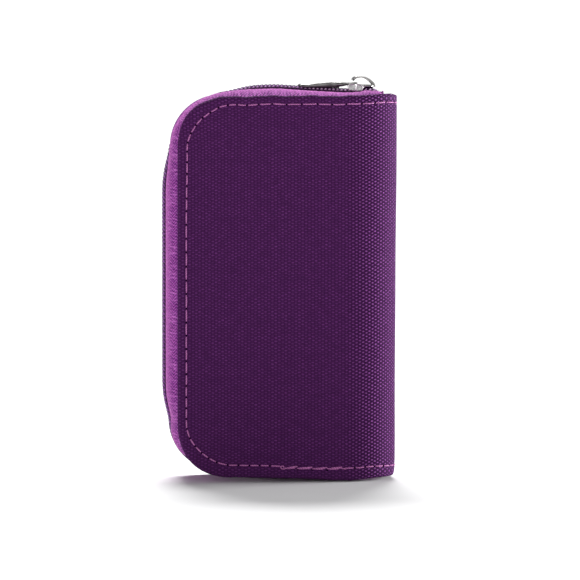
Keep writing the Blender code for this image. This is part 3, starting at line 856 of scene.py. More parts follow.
def stitch(soup, a, b, n, r=0.2, proud=0.12, sink=0.3, sides=8, steps=9,
           side_push=0.0):
    """One stitch from needle hole a to b over a surface with normal n."""
    a, b, n = (np.asarray(x, float) for x in (a, b, n))
    t = np.linspace(0, 1, steps)
    h = -sink + (sink + proud) * np.sin(math.pi * np.clip(t, 0.02, 0.98)) ** 0.38
    across = np.cross(n, b - a)
    across /= np.linalg.norm(across) + 1e-9
    p = a[None] + (b - a)[None] * t[:, None] + n[None] * h[:, None] \
        + across[None] * (side_push * np.sin(math.pi * t))[:, None]
    rad = r * (0.72 + 0.28 * np.sin(math.pi * t) ** 0.6)
    v, f, att = tube(p, rad, sides, 0.86, up=n)
    att[:, 0] += RNG.uniform(0, 6)
    soup.add(v, f, thread=att)


def stitch_line(soup, pts, normals, pitch, gap=0.35, r=0.2, proud=0.12,
                sink=0.3, jitter=0.05, sides=8, steps=9, holes=None, mask=None):
    """Running row of lockstitch along a polyline that lies on a surface."""
    pts, normals = np.asarray(pts, float), np.asarray(normals, float)
    d = np.concatenate([[0], np.cumsum(np.linalg.norm(np.diff(pts, axis=0),
                                                      axis=1))])
    pos = [0.0]
    while pos[-1] < d[-1]:
        p = pitch(pos[-1]) if callable(pitch) else pitch
        pos.append(pos[-1] + p * (1 + RNG.uniform(-jitter, jitter)))
    k = d[-1] / pos[-1] if len(pos) > 1 else 1
    if len(pos) > 2 and d[-1] - pos[-2] < 0.5 * (pos[-1] - pos[-2]):
        pos.pop()
        k = d[-1] / pos[-1]
    pos = np.array(pos) * k

    def at(x, arr):
        return np.array([np.interp(x, d, arr[:, i]) for i in range(3)])

    for i in range(len(pos) - 1):
        a, b = at(pos[i] + gap / 2, pts), at(pos[i + 1] - gap / 2, pts)
        n = at((pos[i] + pos[i + 1]) / 2, normals)
        n /= np.linalg.norm(n)
        m = at((pos[i] + pos[i + 1]) / 2, pts)
        sag = m - (a + b) / 2
        lift = float(sag @ n)
        if mask is None or mask(m):
            stitch(soup, a, b, n, r, proud + lift, sink, sides, steps,
                   RNG.uniform(-0.04, 0.04))
            if holes is not None:
                holes.append((at(pos[i], pts), at(pos[i], normals)))
    if holes is not None:
        holes.append((at(pos[-1], pts), at(pos[-1], normals)))


def needle_holes(name, holes, size=0.27):
    """Small dents where the thread goes through, near-black as painted shade."""
    soup = Soup("weave")
    for c, n in holes:
        n = n / np.linalg.norm(n)
        ref = np.array([0, 0, 1.0]) if abs(n[2]) < 0.9 else np.array([1.0, 0, 0])
        u = np.cross(n, ref)
        u /= np.linalg.norm(u)
        w = np.cross(n, u)
        rings = []
        for rr, hh in ((0.25, -0.12), (0.9, -0.05), (1.0, 0.0), (0.8, 0.035),
                       (0.3, 0.012)):
            ang = np.linspace(0, 2 * math.pi, 10, endpoint=False)
            rings.append(c + size * rr * (np.cos(ang)[:, None] * u
                                          + np.sin(ang)[:, None] * w) + n * hh)
        v, f = loft(rings)
        soup.add(v, f, weave=v * 1.0)
    return soup.object(name)


# ================================================================== the skins
INSETS = [-0.95, -0.6, -0.35, -0.15, 0.0, 0.15, 0.35, 0.6, 0.95, 1.6]
for side, tag in ((-1, "front"), (1, "back")):
    v, f, w = cover_sheet(side, INSETS, 0.0, 0.10, roll_rows())
    sv, sf = shell(v, f, CLOTH)
    skin_ob = new_object(tag + "_cover_skin", sv, sf, {"weave": np.vstack([w, w])},
                         55, recalc=False)
    dress(skin_ob, "outer")
    if side < 0:
        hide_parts("front_cover_fabric", "spine_fabric")
    else:
        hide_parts("back_cover_fabric")
    blend_cover(skin_ob)

    # topstitch round the edge
    st, _, _ = outline(0.5, 60)
    ins = stitch_inset(st)
    pu, pz = st[:, 0] - st[:, 2] * ins, st[:, 1] - st[:, 3] * ins
    pts = skin(pu, pz, 0.06, side)
    nrm = skin_normal(pu, side=side, zz=0)
    # the cloth along the stitch isn't perfectly straight
    keep = pu < U_END - 0.2
    pts, nrm, pu2, pz2 = pts[keep], nrm[keep], pu[keep], pz[keep]
    dist = np.concatenate([[0], np.cumsum(np.linalg.norm(np.diff(pts, axis=0),
                                                         axis=1))])

    def pitch(s, dist=dist, pu2=pu2, pz2=pz2):
        u = np.interp(s, dist, pu2)
        z = np.interp(s, dist, pz2)
        if z < 6:
            return 3.0
        if z > H - 5:
            return 2.6 + 1.6 * float(smooth((u - 15.0) / 19.0)) \
                - 0.3 * float(smooth((u - 52.0) / 12.0))
        if u < 14.5 and R - 2 < z < H - R + 2:
            return float(np.interp(z, [13, 17, 20, 27, 38, 45, 66, 74, 87, 95],
                                   [2.55, 2.75, 3.0, 3.35, 3.5, 3.85, 4.0, 3.65,
                                    3.4, 2.75]))
        return 2.62

    soup, holes = Soup("thread"), []
    tacked = (lambda m: side > 0 or m[2] > 12 or not 0.2 < m[0] < 17.0)
    stitch_line(soup, pts, nrm, pitch, 0.62, 0.195, 0.09, 0.26, 0.06, 8, 9, holes,
                tacked)
    if side < 0:
        # the seam is sewn over itself near the spine: a rope of slanted
        # stitches that starts with a loop
        def on_front(u, zz, e=0.0):
            return skin(np.array([u]), np.array([zz]), e, side)[0]

        marks = [30.3, 33.75, 37.95, 42.1, 46.2]
        for k, (u0, u1) in enumerate(zip(marks, marks[1:])):
            for du0, du1, z0, z1, rr, pr in (
                    (0.00, -0.25, 2.90, 3.32, 0.21, 0.24),
                    (0.55, -0.75, 2.82, 3.02, 0.18, 0.15),
                    (1.15, 0.02, 3.10, 3.48, 0.18, 0.19)):
                j = RNG.uniform(-0.06, 0.06, 4)
                up = 0.34 * float(smooth((u0 - 33) / 12))
                pa = on_front(u0 + du0 + j[0], z0 + up + j[1])
                pb = on_front(u1 + du1 + j[2], z1 + up + j[3])
                stitch(soup, pa, pb, skin_normal(np.array([0.5 * (u0 + u1)]), 0,
                                                 side)[0], rr, pr, 0.2, 8, 11,
                       0.10 * math.sin(1.7 * k + du0))
            holes.append((on_front(u0, 2.75), skin_normal(np.array([u0]), 0,
                                                          side)[0]))
        tt_ = np.linspace(-0.35, 2 * math.pi - 0.1, 22)
        loop = np.array([on_front(29.35 + 0.62 * math.cos(q) + 0.10 * q,
                                  3.12 + 0.40 * math.sin(q), -0.16 - 0.03 * q)
                         for q in tt_])
        v, f, att = tube(loop, 0.17, 8)
        soup.add(v, f, thread=att)
        for z0, z1, ua, ub in ((3.5, 3.42, 26.9, 28.9), (3.5, 3.25, 45.9, 47.4)):
            stitch(soup, on_front(ua, z0), on_front(ub, z1),
                   skin_normal(np.array([ua]), 0, side)[0], 0.19, 0.12, 0.2)
    ob = soup.object(tag + "_topstitch", 60)
    dress(ob, "topstitch")
    blend_cover(ob)
    ob = needle_holes(tag + "_needle_holes", holes)
    dress(ob, "hole")
    blend_cover(ob)


# ==================================================================== the zip
def zip_path(x_end_top, x_end_bottom, step):
    """Points along the closing line, from the top by the spine, round the
    fore-edge, to the bottom by the spine: x, z, nx, nz, s."""
    rows = []
    n = int((x_end_top - (XF + R)) / step) + 1
    for x in np.linspace(x_end_top, XF + R, n + 1):
        rows.append((x, H, 0.0, 1.0))
    k = max(8, int(R * math.pi / 2 / step))
    for i in range(1, k):
        a = math.radians(90 + 90 * i / k)
        rows.append((XF + R + R * math.cos(a), H - R + R * math.sin(a),
                     math.cos(a), math.sin(a)))
    n = int((H - 2 * R) / step) + 1
    for z in np.linspace(H - R, R, n + 1):
        rows.append((XF, z, -1.0, 0.0))
    for i in range(1, k):
        a = math.radians(180 + 90 * i / k)
        rows.append((XF + R + R * math.cos(a), R + R * math.sin(a),
                     math.cos(a), math.sin(a)))
    n = int((x_end_bottom - (XF + R)) / step) + 1
    for x in np.linspace(XF + R, x_end_bottom, n + 1):
        rows.append((x, 0.0, 0.0, -1.0))
    rows = np.array(rows)
    s = np.concatenate([[0], np.cumsum(np.hypot(np.diff(rows[:, 0]),
                                                np.diff(rows[:, 1])))])
    return np.column_stack([rows, s])


def zip_state(p, side):
    """Bulge and parting of the closing line at path rows p."""
    x, z, nx, nz = p[:, 0], p[:, 1], p[:, 2], p[:, 3]
    top = np.minimum(BULGE_TOP, BULGE_SLIDER + (SL_X - x) * math.tan(ZIP_LEAN))
    rise = (0.62 if side < 0 else 0.35) * smooth((x - 22.5) / 1.7) \
        * (1 - smooth((x - 26.2) / 2.6))
    top = top + rise - 0.55 * smooth((x - 27.4) / 2.0)
    ang = np.arctan2(nz, nx)
    ang = np.where(ang < -0.01, ang + 2 * math.pi, ang)     # 90..270 degrees
    f1 = np.clip((ang - math.pi / 2) / (math.pi / 2), 0, 1)
    f2 = np.clip((ang - math.pi) / (math.pi / 2), 0, 1)
    bulge = np.where(f1 <= 0, top, BULGE_TOP + (BULGE_FORE - BULGE_TOP)
                     * smooth(f1))
    bulge = np.where(f2 > 0, BULGE_FORE + (BULGE_BOTTOM - BULGE_FORE)
                     * smooth(f2), bulge)
    # tucked up out of sight along the bottom
    bulge = bulge - 0.9 * smooth(f2) * (1 - smooth((x - 0.0) / 16.0))
    s = p[:, 4]
    mid = s[np.argmin(np.abs(ang - math.pi * 0.75))]
    bulge = bulge - 2.5 * np.exp(-(np.abs(s - mid - 0.4) / 16.0) ** 4)
    mid = s[np.argmin(np.abs(ang - math.pi * 1.25))]
    bulge = bulge - 2.3 * np.exp(-(np.abs(s - mid + 2.5) / 14.5) ** 4)
    part = np.where((nz > 0.999) & (x > DIVERGE_X),
                    (np.clip(x - DIVERGE_X, 0, None)
                     / (ZIP_END_X - DIVERGE_X)) ** 1.15 * DIVERGE, 0.0)
    return bulge, part


def skin_y(x, e):
    """y of the front skin at x, e deep."""
    u = np.linspace(0, U_END, 900)
    xs, ys, _, _ = profile(u, np.full_like(u, e))
    k = np.maximum.accumulate(xs)
    return np.interp(x, k + np.arange(len(k)) * 1e-9, ys)


def on_zip(p, y, o, side):
    return np.stack([p[:, 0] + p[:, 2] * o, -side * y, p[:, 1] + p[:, 3] * o], -1)


for side, tag in ((-1, "front"), (1, "back")):
    where = tag + "_cover"
    p = zip_path(30.3, 28.9, 0.55)
    bulge, part = zip_state(p, side)
    y_in = -(0.55 + part)
    y_cov = skin_y(np.minimum(p[:, 0], 30.3), 1.95)
    # the cloth puckers where it is eased round the corners
    s = p[:, 4]
    mid = s[np.argmin(np.abs(np.degrees(np.arctan2(p[:, 3], p[:, 2])) - 135))]
    corner = np.exp(-((s - mid) / 13.0) ** 2)
    on_top = p[:, 3] > 0.9
    hump = 0.75 + (1.25 if side < 0 else -0.60) * np.exp(
        -((s - mid) / 15.0) ** 4)
    theta = np.degrees(np.arctan2(p[:, 3], p[:, 2])) % 360
    low_mid = s[np.argmin(np.abs(theta - 207))]
    hump = hump + (0.85 if side < 0 else -0.5) * np.exp(
        -((s - low_mid) / 8.0) ** 4)
    hump = hump + np.where(on_top, 0.25 * np.exp(-((p[:, 0] + 12) / 4.0) ** 2)
                           - 0.12 * smooth((p[:, 0] + 2) / 12)
                           + 0.35 * smooth((p[:, 0] - 20) / 4)
                           + 0.28 * np.exp(-((p[:, 0] - 21.6) / 2.4) ** 2)
                           + 0.30 * smooth((p[:, 0] - 25.6) / 2), 0)
    hump = hump * (1 - smooth((theta - 212) / 18))
    low = np.where(p[:, 3] < -0.02, 1.0, 0.0) * np.where(p[:, 2] < -0.02, 1, 0)
    pucker = 0.16 * corner + 0.12 * low + 0.06
    # the tape leaves the cover where the panel's lower edge is
    lift = -z_edges(p[:, 0] - XF, side)[0] * smooth(-p[:, 3] * 1.2)
    rows, uv = [], []
    tuck = [(-4.2, 1.95 - 1.95, 0), (-2.2, 0, 0), (-1.0, 0.0, 0)]
    for o in (-4.2, -2.6, -1.4):
        rows.append(on_zip(p, y_cov + 0.02, o + lift, side))
        uv.append(np.column_stack([s, np.full(len(p), o - 1.0),
                                   np.zeros(len(p))]))
    V = 15
    for k in range(V):
        f = k / (V - 1)
        y = y_cov + (y_in - y_cov) * f
        o = -0.75 + (bulge + 0.75) * math.sin(math.pi / 2 * min(1, f * 1.08)) ** 0.8 \
            + lift * (1 - f) ** 2
        wv = np.sin(s * 2 * math.pi / 2.3 + 2.2 * f + 0.8 * np.sin(s * 0.7)) \
            + 0.5 * np.sin(s * 2 * math.pi / 1.45 + 4 * f)
        o = o + hump * math.sin(math.pi * f ** 1.35) ** 1.1 * (1 - 0.0 * f)
        o = o + pucker * wv * math.sin(math.pi * min(1, f * 1.02)) ** 1.2 * 0.5
        rows.append(on_zip(p, y, o, side))
        uv.append(np.column_stack([s, -y_cov * 0 + f * 12.3, np.zeros(len(p))]))
    v = np.stack(rows, 1).reshape(-1, 3)
    a = np.stack(uv, 1).reshape(-1, 3)
    f = grid_faces(len(p), len(rows))
    if side > 0:
        f = [q[::-1] for q in f]
    n = vertex_normals(v, f)
    mid = len(v) // 2
    outward = np.array([p[len(p) // 2, 2], 0, p[len(p) // 2, 3]])
    if n[(len(p) // 2) * len(rows) + len(rows) - 3] @ outward < 0:
        f = [q[::-1] for q in f]
    sv, sf = shell(v, f, 0.40)
    ob = new_object(tag + "_zip_tape_cloth", sv, sf, {"weave": np.vstack([a, a])},
                    60, recalc=False)
    dress(ob, "tape")
    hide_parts(tag + "_zip_tape")
    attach(ob, where)

    # the coil: one loop of monofilament per tooth
    p = zip_path(28.0, 27.7, 0.25)
    bulge, part = zip_state(p, side)
    s = p[:, 4]
    PITCH = 1.12
    turns = int(s[-1] / PITCH)
    per = 16
    tt = np.arange(turns * per + 1) / per
    ss = (tt + (0.5 if side > 0 else 0.0) * 1.0) * PITCH
    ss = ss[ss < s[-1]]
    tt = tt[:len(ss)]
    ph = 2 * math.pi * tt
    P = np.column_stack([np.interp(ss, s, p[:, i]) for i in range(4)])
    nn = np.hypot(P[:, 2], P[:, 3])
    P[:, 2] /= nn
    P[:, 3] /= nn
    bu, pa = np.interp(ss, s, bulge), np.interp(ss, s, part)
    # section of the loop: heads meet at the middle, legs lie flat on the tape
    c, sn = np.cos(ph), np.sin(ph)
    wide = np.sign(c) * np.abs(c) ** 0.72
    tall = np.sign(sn) * np.abs(sn) ** 0.72
    yc = -(0.98 + pa) + 1.16 * wide
    edge = smooth(-P[:, 2])
    oc = bu + 0.66 - 0.16 * edge + (0.42 - 0.09 * edge) * tall
    # a loop advances mostly where it crosses at its outer end
    lean = -0.12 * PITCH * np.sin(ph)
    along = np.column_stack([-P[:, 3], P[:, 2]])
    cen = np.stack([P[:, 0] + P[:, 2] * oc + along[:, 0] * lean, -side * yc,
                    P[:, 1] + P[:, 3] * oc + along[:, 1] * lean], -1)
    rad = 0.315 + 0.03 * np.clip(c, 0, 1) ** 6 + 0.02 * edge
    v, f, att = tube(cen, rad, 7)
    # depth of each point under the top of its loop, which sets the painted shade where
    # a loop dips
    up = np.stack([P[:, 2], 0 * P[:, 2], P[:, 3]], -1)
    top = bu + 1.08 - 0.25 * edge + rad
    hi = oc[:, None] + np.sum((v.reshape(-1, 7, 3) - cen[:, None])
                              * up[:, None], 2)
    att[:, 2] = (top[:, None] - hi).reshape(-1)
    # outer end of each loop: where the coil's painted glint goes
    att[:, 1] = np.repeat(np.clip(-wide, 0, 1), 7)
    soup = Soup("thread")
    soup.add(v, f, thread=att)
    ob = soup.object(tag + "_coil_teeth", 60)
    dress(ob, "coil")
    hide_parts(tag + "_zip_coil")
    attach(ob, where)

    # cord inside the coil and the two rows that sew it to the tape
    soup = Soup("thread")
    q = zip_path(28.1, 27.6, 0.8)
    bq, pq = zip_state(q, side)
    core = on_zip(q, -(1.25 + pq), bq + 0.66 - 0.22 * smooth(-q[:, 2]), side)
    v, f, att = tube(core, 0.48, 9)
    soup.add(v, f, thread=att)
    for yy, oo in ((1.05, 1.36), (1.78, 1.12)):
        line = on_zip(q, -(yy + pq), bq + oo - 0.34 * smooth(-q[:, 2]), side)
        nrm = on_zip(q, np.zeros(len(q)), np.ones(len(q)), side) \
            - on_zip(q, np.zeros(len(q)), np.zeros(len(q)), side)
        stitch_line(soup, line, nrm, 1.12, 0.16, 0.10, 0.05, 0.18, 0.02, 5, 5)
    ob = soup.object(tag + "_coil_sewing", 60)
    dress(ob, "zip_thread")
    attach(ob, where)

    # top stop folded over the end of this half
    e = zip_path(28.5, 27.7, 0.25)[:1]
    b0, p0 = zip_state(e, side)
    cx, cz = e[0, 0], e[0, 1] + b0[0] + 0.62
    cy = -(1.1 + p0[0])
    rings = []
    for k, (dx, g) in enumerate(((-0.55, 0.80), (-0.42, 0.95), (0.0, 1.0),
                                 (0.42, 0.95), (0.55, 0.80))):
        ang = np.linspace(0, 2 * math.pi, 20, endpoint=False)
        cc, ss2 = np.cos(ang), np.sin(ang)
        yy = cy + 1.35 * g * np.sign(cc) * np.abs(cc) ** 0.55
        zz = cz + 0.78 * g * np.sign(ss2) * np.abs(ss2) ** 0.55
        rings.append(np.stack([np.full(20, cx + dx), -side * yy, zz], -1))
    v, f = loft(rings)
    ob = new_object(tag + "_coil_end_stop", v, f, None, 50)
    dress(ob, "stop")
    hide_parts(tag + "_zip_top_stop")
    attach(ob, where)


# ================================================================== the slider
def leaning(p):
    p = np.asarray(p, float)
    dx, dz = p[..., 0] - SL_X, p[..., 2] - COIL_TOP_Z
    c, s = math.cos(ZIP_LEAN), math.sin(ZIP_LEAN)
    return np.stack([SL_X + dx * c + dz * s, p[..., 1],
                     COIL_TOP_Z - dx * s + dz * c], -1)


def plate_outline(grow=0.0, n=10):
    """Slider plate seen from above: broad nose to the spine, narrow tail."""
    pts = []
    X1, X0, W = 26.8, 19.0, 3.1
    for k in range(n + 1):
        a = math.radians(-78 + 156 * k / n)
        pts.append((X1 - 2.3 + (2.3 + grow) * math.cos(a),
                    (2.75 + grow) * math.sin(a)))
    pts += [(X1 - 3.6, W + grow), (X1 - 5.0, W + grow - 0.12),
            (X0 + 1.4, W + grow - 0.55), (X0 + 0.5, W + grow - 0.8),
            (X0 - grow + 0.08, W + grow - 1.3)]
    pts += [(x, -y) for x, y in reversed(pts[n + 1:])]
    return np.array(pts)


def plate(soup, z0, z1, bevel=0.22, scale=1.0, dome=0.0, nose=0.0):
    rings = []
    for g, z in ((-bevel * 1.2, z0), (-bevel * 0.3, z0 + bevel * 0.3),
                 (0, z0 + bevel), (0, z1 - bevel),
                 (-bevel * 0.3, z1 - bevel * 0.3), (-bevel * 1.2, z1),
                 (-1.2, z1 + dome)):
        o = plate_outline(g)
        zz = np.full(len(o), z) - nose * smooth((o[:, 0] - 23.2) / 3.6)
        rings.append(leaning(np.column_stack([o[:, 0], o[:, 1] * scale, zz])))
    v, f = loft(rings)
    soup.add(v, f, thread=v)


def rail(soup, side, x0, x1, z0, z1, y, t=0.55, power=2.6, relief=0.0):
    """Side lip of the slider: a pill with a raised rim and a bar across it."""
    rings, rim_shade_mask = [], []
    n = 44
    vv = np.concatenate([np.linspace(-1, 1, 19)])
    for k in range(n + 1):
        fx = 0.5 - 0.5 * math.cos(math.pi * k / n)
        x = x0 + (x1 - x0) * fx
        end = (max(0.0, 1 - abs(2 * fx - 1) ** power)) ** (1 / power)
        end = max(end, 0.06)
        zc, hh = (z0 + z1) / 2, (z1 - z0) / 2 * end
        # distance to the outline, 0 at the edge
        gap = np.minimum((1 - np.abs(vv)) * hh, (0.5 - abs(fx - 0.5)) * (x1 - x0)
                         * 0.9)
        low = smooth((gap - 0.20) / 0.22)
        bar = math.exp(-((fx - 0.52) * (x1 - x0) / 0.26) ** 4)
        low = low * (1 - bar)
        grain = 0.03 * np.sin(9 * x + 4 * vv) * np.sin(7 * vv + 3 * x)
        face = y + t / 2 - relief * low + grain * low \
            - 0.22 * np.abs(vv) ** 6 - 0.25 * (1 - end) ** 2
        back = np.full(7, y - t / 2)
        bv = np.linspace(1, -1, 7) * 0.92
        rings.append(leaning(np.column_stack([
            np.full(26, x), side * np.concatenate([face, back]),
            zc + hh * np.concatenate([vv, bv])])))
        # mask for the lips' painted rim highlight and painted hollow shade
        rim_shade_mask.append(np.column_stack([np.concatenate([low, np.zeros(7)]),
                                     np.zeros((26, 2))]))
    v, f = loft(rings)
    soup.add(v, f, thread=np.vstack(rim_shade_mask))


soup = Soup("thread")
plate(soup, 109.32, 109.68, 0.15, 1.0, 0.04, -0.12)
plate(soup, 104.15, 104.95, 0.22, 0.97, 0.0)
lips = Soup("thread")
for sd in (-1, 1):
    rail(lips, sd, 19.08 if sd < 0 else 19.66, 23.52, 107.98, 110.12, 2.95, 0.6,
         2.7, 0.16)
    rail(lips, sd, 19.2, 23.4, 104.3, 105.6, 2.75, 0.5, 2.7, 0.08)
# the throat under the nose, where the two halves of the coil run in: a near-black piece
# that stands in for the shade there
throat = Soup("weave")
rings = []
for z, g in ((108.42, -0.75), (108.50, -0.45), (108.9, -0.34), (109.2, -0.34),
             (109.36, -0.5)):
    o = plate_outline(g)
    o = o[o[:, 0] > 23.3]
    o = np.vstack([o, [(23.3, -2.6)], [(23.3, 2.6)]])
    a_ = np.arctan2(o[:, 1], o[:, 0] - 24.6)
    o = o[np.argsort(a_)]
    zz = np.full(len(o), z) - 0.30 * smooth((o[:, 0] - 24.5) / 2.2) * (z < 109)
    rings.append(leaning(np.column_stack([o, zz])))
v, f = loft(rings)
throat.add(v, f, weave=v)
# post between the plates
rings = []
for z in (104.6, 105.2, 106.5, 108.0, 109.4):
    ang = np.linspace(0, 2 * math.pi, 16, endpoint=False)
    k = 1.0 + 0.25 * abs(z - 106.6) / 2.2
    rings.append(leaning(np.column_stack([25.4 + 0.85 * k * np.cos(ang),
                                          0.22 * k * np.sin(ang),
                                          np.full(16, z)])))
v, f = loft(rings)
soup.add(v, f, thread=v)
# crown: a bent strap from the tail over the tab's bar down to the nose
arch = np.array([(20.62, 110.80), (20.85, 111.20), (21.15, 111.6), (21.74, 111.88),
                 (22.86, 111.95), (24.0, 111.78), (25.25, 111.20),
                 (26.15, 110.45), (26.75, 109.80), (26.85, 109.40)])
d = np.concatenate([[0], np.cumsum(np.hypot(*np.diff(arch, axis=0).T))])
g = np.linspace(0, d[-1], 40)
ax = np.interp(g, d, arch[:, 0])
az = np.interp(g, d, arch[:, 1])
for _ in range(6):
    ax[1:-1] = (ax[:-2] + 2 * ax[1:-1] + ax[2:]) / 4
    az[1:-1] = (az[:-2] + 2 * az[1:-1] + az[2:]) / 4
tx, tz = np.gradient(ax), np.gradient(az)
tn = np.hypot(tx, tz)
nx_, nz_ = -tz / tn, tx / tn
rings = []
for i in range(len(ax)):
    f = i / (len(ax) - 1)
    half_w = 0.62 + 0.30 * smooth(f / 0.15) + 0.45 * smooth((f - 0.75) / 0.25)
    half_t = 0.46 - 0.08 * smooth(f / 0.25) + 0.08 * smooth((f - 0.55) / 0.3)
    ang = np.linspace(0, 2 * math.pi, 14, endpoint=False)
    cc, sn = np.cos(ang), np.sin(ang)
    yy = half_w * np.sign(cc) * np.abs(cc) ** 0.5
    hh = half_t * np.sign(sn) * np.abs(sn) ** 0.6 * (1 - 0.25 * np.abs(cc))
    rings.append(leaning(np.column_stack([ax[i] + nx_[i] * hh, yy,
                                          az[i] + nz_[i] * hh])))
v, f = loft(rings)
crown = Soup("thread")
crown.add(v, f, thread=v)
ob = soup.object("slider_casting", 38)
dress(ob, "metal")
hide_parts("zip_slider_body")
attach(ob, "slider")
# the throat is near-black: painted shade
ob = throat.object("slider_throat", 45)
dress(ob, "hole")
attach(ob, "slider")
ob = lips.object("slider_lips", 45)
dress(ob, "lip")
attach(ob, "slider")
ob = crown.object("slider_crown", 38)
dress(ob, "crown")
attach(ob, "slider")


# ---------------------------------------------------------------- the pull tab
def tab_point(u, w, h):
    ca, sa = math.cos(TAB_SLOPE), math.sin(TAB_SLOPE)
    return leaning(np.stack([BAR_X - u * ca - h * sa, w + 0 * u,
                             COIL_TOP_Z + BAR_H - u * sa + h * ca], -1))


def tab_frame(v):
    """Distance along, across and above the tab, of points v."""
    o, a, b, c = (tab_point(*np.eye(4)[i][1:]) for i in range(4))
    d = np.asarray(v, float) - o
    return np.stack([d @ (a - o), d @ (b - o), d @ (c - o)], -1)


def tab_ring(u0, u1, w0, w1, r, n=6):
    """Rounded rectangle in tab coordinates."""
    pts = []
    for cu, cw, a0 in ((u1 - r, w1 - r, 0), (u0 + r, w1 - r, 90),
                       (u0 + r, w0 + r, 180), (u1 - r, w0 + r, 270)):
        for k in range(n + 1):
            a = math.radians(a0 + 90 * k / n)
            pts.append((cu + r * math.cos(a), cw + r * math.sin(a)))
    return np.array(pts)


def tab_width(u):
    """Half width of the tab at distance u from its bar."""
    return 1.95 - 0.35 * math.exp(-((u - 6.6) / 1.3) ** 2) \
        + 0.35 * float(smooth((u - 7.5) / 6.0))


soup = Soup("thread")
# the plate of the tab: from the window to the rounded end
L = 16.4
us = np.concatenate([np.linspace(5.0, 14.6, 26),
                     14.6 + (L - 14.6) * np.sin(np.linspace(0, math.pi / 2, 12)[1:])])
rings = []
for i, u in enumerate(us):
    hw = tab_width(min(u, 14.6))
    if u > 14.6:
        hw *= math.sqrt(max(0.02, 1 - ((u - 14.6) / (L - 14.6)) ** 2)) * 0.98 + 0.02
    th = 0.66 - 0.25 * smooth((u - 5.0) / 10.0)
    ring = []
    # section with a raised rim along both edges
    for w, h in ((-1, -0.55), (-0.93, -0.95), (-0.7, -1.0), (0, -1.0), (0.7, -1.0),
                 (0.93, -0.95), (1, -0.55), (1, 0.55), (0.95, 0.92), (0.84, 1.0),
                 (0.72, 0.85), (0.62, 0.45), (0, 0.40), (-0.62, 0.45),
                 (-0.72, 0.85), (-0.84, 1.0), (-0.95, 0.92), (-1, 0.55)):
        ring.append((u, w * hw, (h if h > 0 else 1.5 * h) * th
                     * (1 if u < L - 0.3 else 0.8)))
    r = np.array(ring)
    rings.append(tab_point(r[:, 0], r[:, 1], r[:, 2]))
v, f = loft(rings)
soup.add(v, f, thread=tab_frame(v))
# raised rim round the tab's far end
aa = np.linspace(-math.pi / 2, math.pi / 2, 22)
rim_u = 14.3 + (L - 14.55) * np.cos(aa)
rim_w = (tab_width(14.6) - 0.28) * np.sin(aa)
path = tab_point(rim_u, rim_w, np.full(22, 0.22))
v, f, att = tube(path, 0.18, 8)
soup.add(v, f, thread=tab_frame(v))
# ring end that goes through the crown
corner = []
for u, w in ((5.6, 1.45), (4.4, 1.55), (2.2, 1.62), (1.0, 1.60), (0.42, 1.42),
             (0.1, 1.05), (0.0, 0.55), (0.0, 0.0), (0.0, -0.55), (0.1, -1.05),
             (0.42, -1.42), (1.0, -1.60), (2.2, -1.62), (4.4, -1.55),
             (5.6, -1.45)):
    corner.append((u, w))
c = np.array(corner)
cd = np.concatenate([[0], np.cumsum(np.hypot(*np.diff(c, axis=0).T))])
gg = np.linspace(0, cd[-1], 46)
cu, cw = np.interp(gg, cd, c[:, 0]), np.interp(gg, cd, c[:, 1])
path = tab_point(cu, cw, np.zeros(len(gg)))
slim = 0.30 + 0.34 * smooth((cu - 2.2) / 2.6)
v, f, att = tube(path, slim, 12, 1.0, up=leaning(np.array([0, 0, 1.0]) + [SL_X, 0, COIL_TOP_Z]) - leaning(np.array([SL_X, 0, COIL_TOP_Z])))
soup.add(v, f, thread=tab_frame(v))
ob = soup.object("pull_tab_casting", 38)
dress(ob, "tab")
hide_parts("zip_pull_tab")
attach(ob, "pull_tab")


# ===================================================================== linings
def uv_from(v, flip=False):
    """Cloth coordinates for a sheet that lies in the x-z plane."""
    return np.column_stack([v[:, 0], v[:, 2], v[:, 1] * 0])


for side, tag in ((-1, "front"), (1, "back")):
    v, f, w = cover_sheet(side, [-0.6, -0.3, 0.0, 0.3, 0.6, 1.4], 2.72, 0.0,
                          [(1.3, 2.45, 1.3), (1.7, 2.48, 1.7)], 1.4)
    f = [q[::-1] for q in f]
    sv, sf = shell(v, f, 0.22)
    ob = new_object(tag + "_lining_cloth", sv, sf, {"weave": np.vstack([w, w])},
                    60, recalc=False)
    dress(ob, "lining")
    if side < 0:
        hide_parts("front_cover_lining", "spine_lining")
    else:
        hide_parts("back_cover_lining")
    blend_cover(ob)
    # the underside of the topstitch
    st, _, _ = outline(0.6, 50)
    ins = stitch_inset(st)
    pu, pz = st[:, 0] - st[:, 2] * ins, st[:, 1] - st[:, 3] * ins
    pts = skin(pu, pz, 2.76, side)
    soup = Soup("thread")
    stitch_line(soup, pts, -skin_normal(pu, 0, side), 3.8, 0.5, 0.17, 0.08, 0.2,
                0.05, 6, 7)
    ob = soup.object(tag + "_lining_stitch", 60)
    dress(ob, "inner_thread")
    blend_cover(ob)

# the boards follow their panels' edges, and stop short of the hinge
for side, tag in ((-1, "front"), (1, "back")):
    V = []
    b_in = 1.3
    us = np.concatenate([b_in + (R - b_in) * (1 - np.cos(
        np.linspace(0, math.pi / 2, 18))), np.linspace(R, U_FLAT + 2.2, 24)[1:]])
    for uu in us:
        rr = R - b_in
        cut = rr - math.sqrt(max(0.0, rr ** 2 - max(0.0, R - uu) ** 2))
        zz = np.linspace(b_in + cut, H - b_in - cut, 60)
        V.append(skin(np.full(60, uu), zz, 0.82, side, 0))
    v = np.vstack(V)
    f = grid_faces(len(us), 60)
    n = vertex_normals(v, f)
    if n[len(n) // 2, 1] * side < 0:
        f = [q[::-1] for q in f]
    sv, sf = shell(v, f, 0.6)
    ob = new_object(tag + "_cover_stiffener", sv, sf, None, 40, recalc=False)
    dress(ob, "board")
    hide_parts(tag + "_cover_board")
    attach(ob, tag + "_cover")

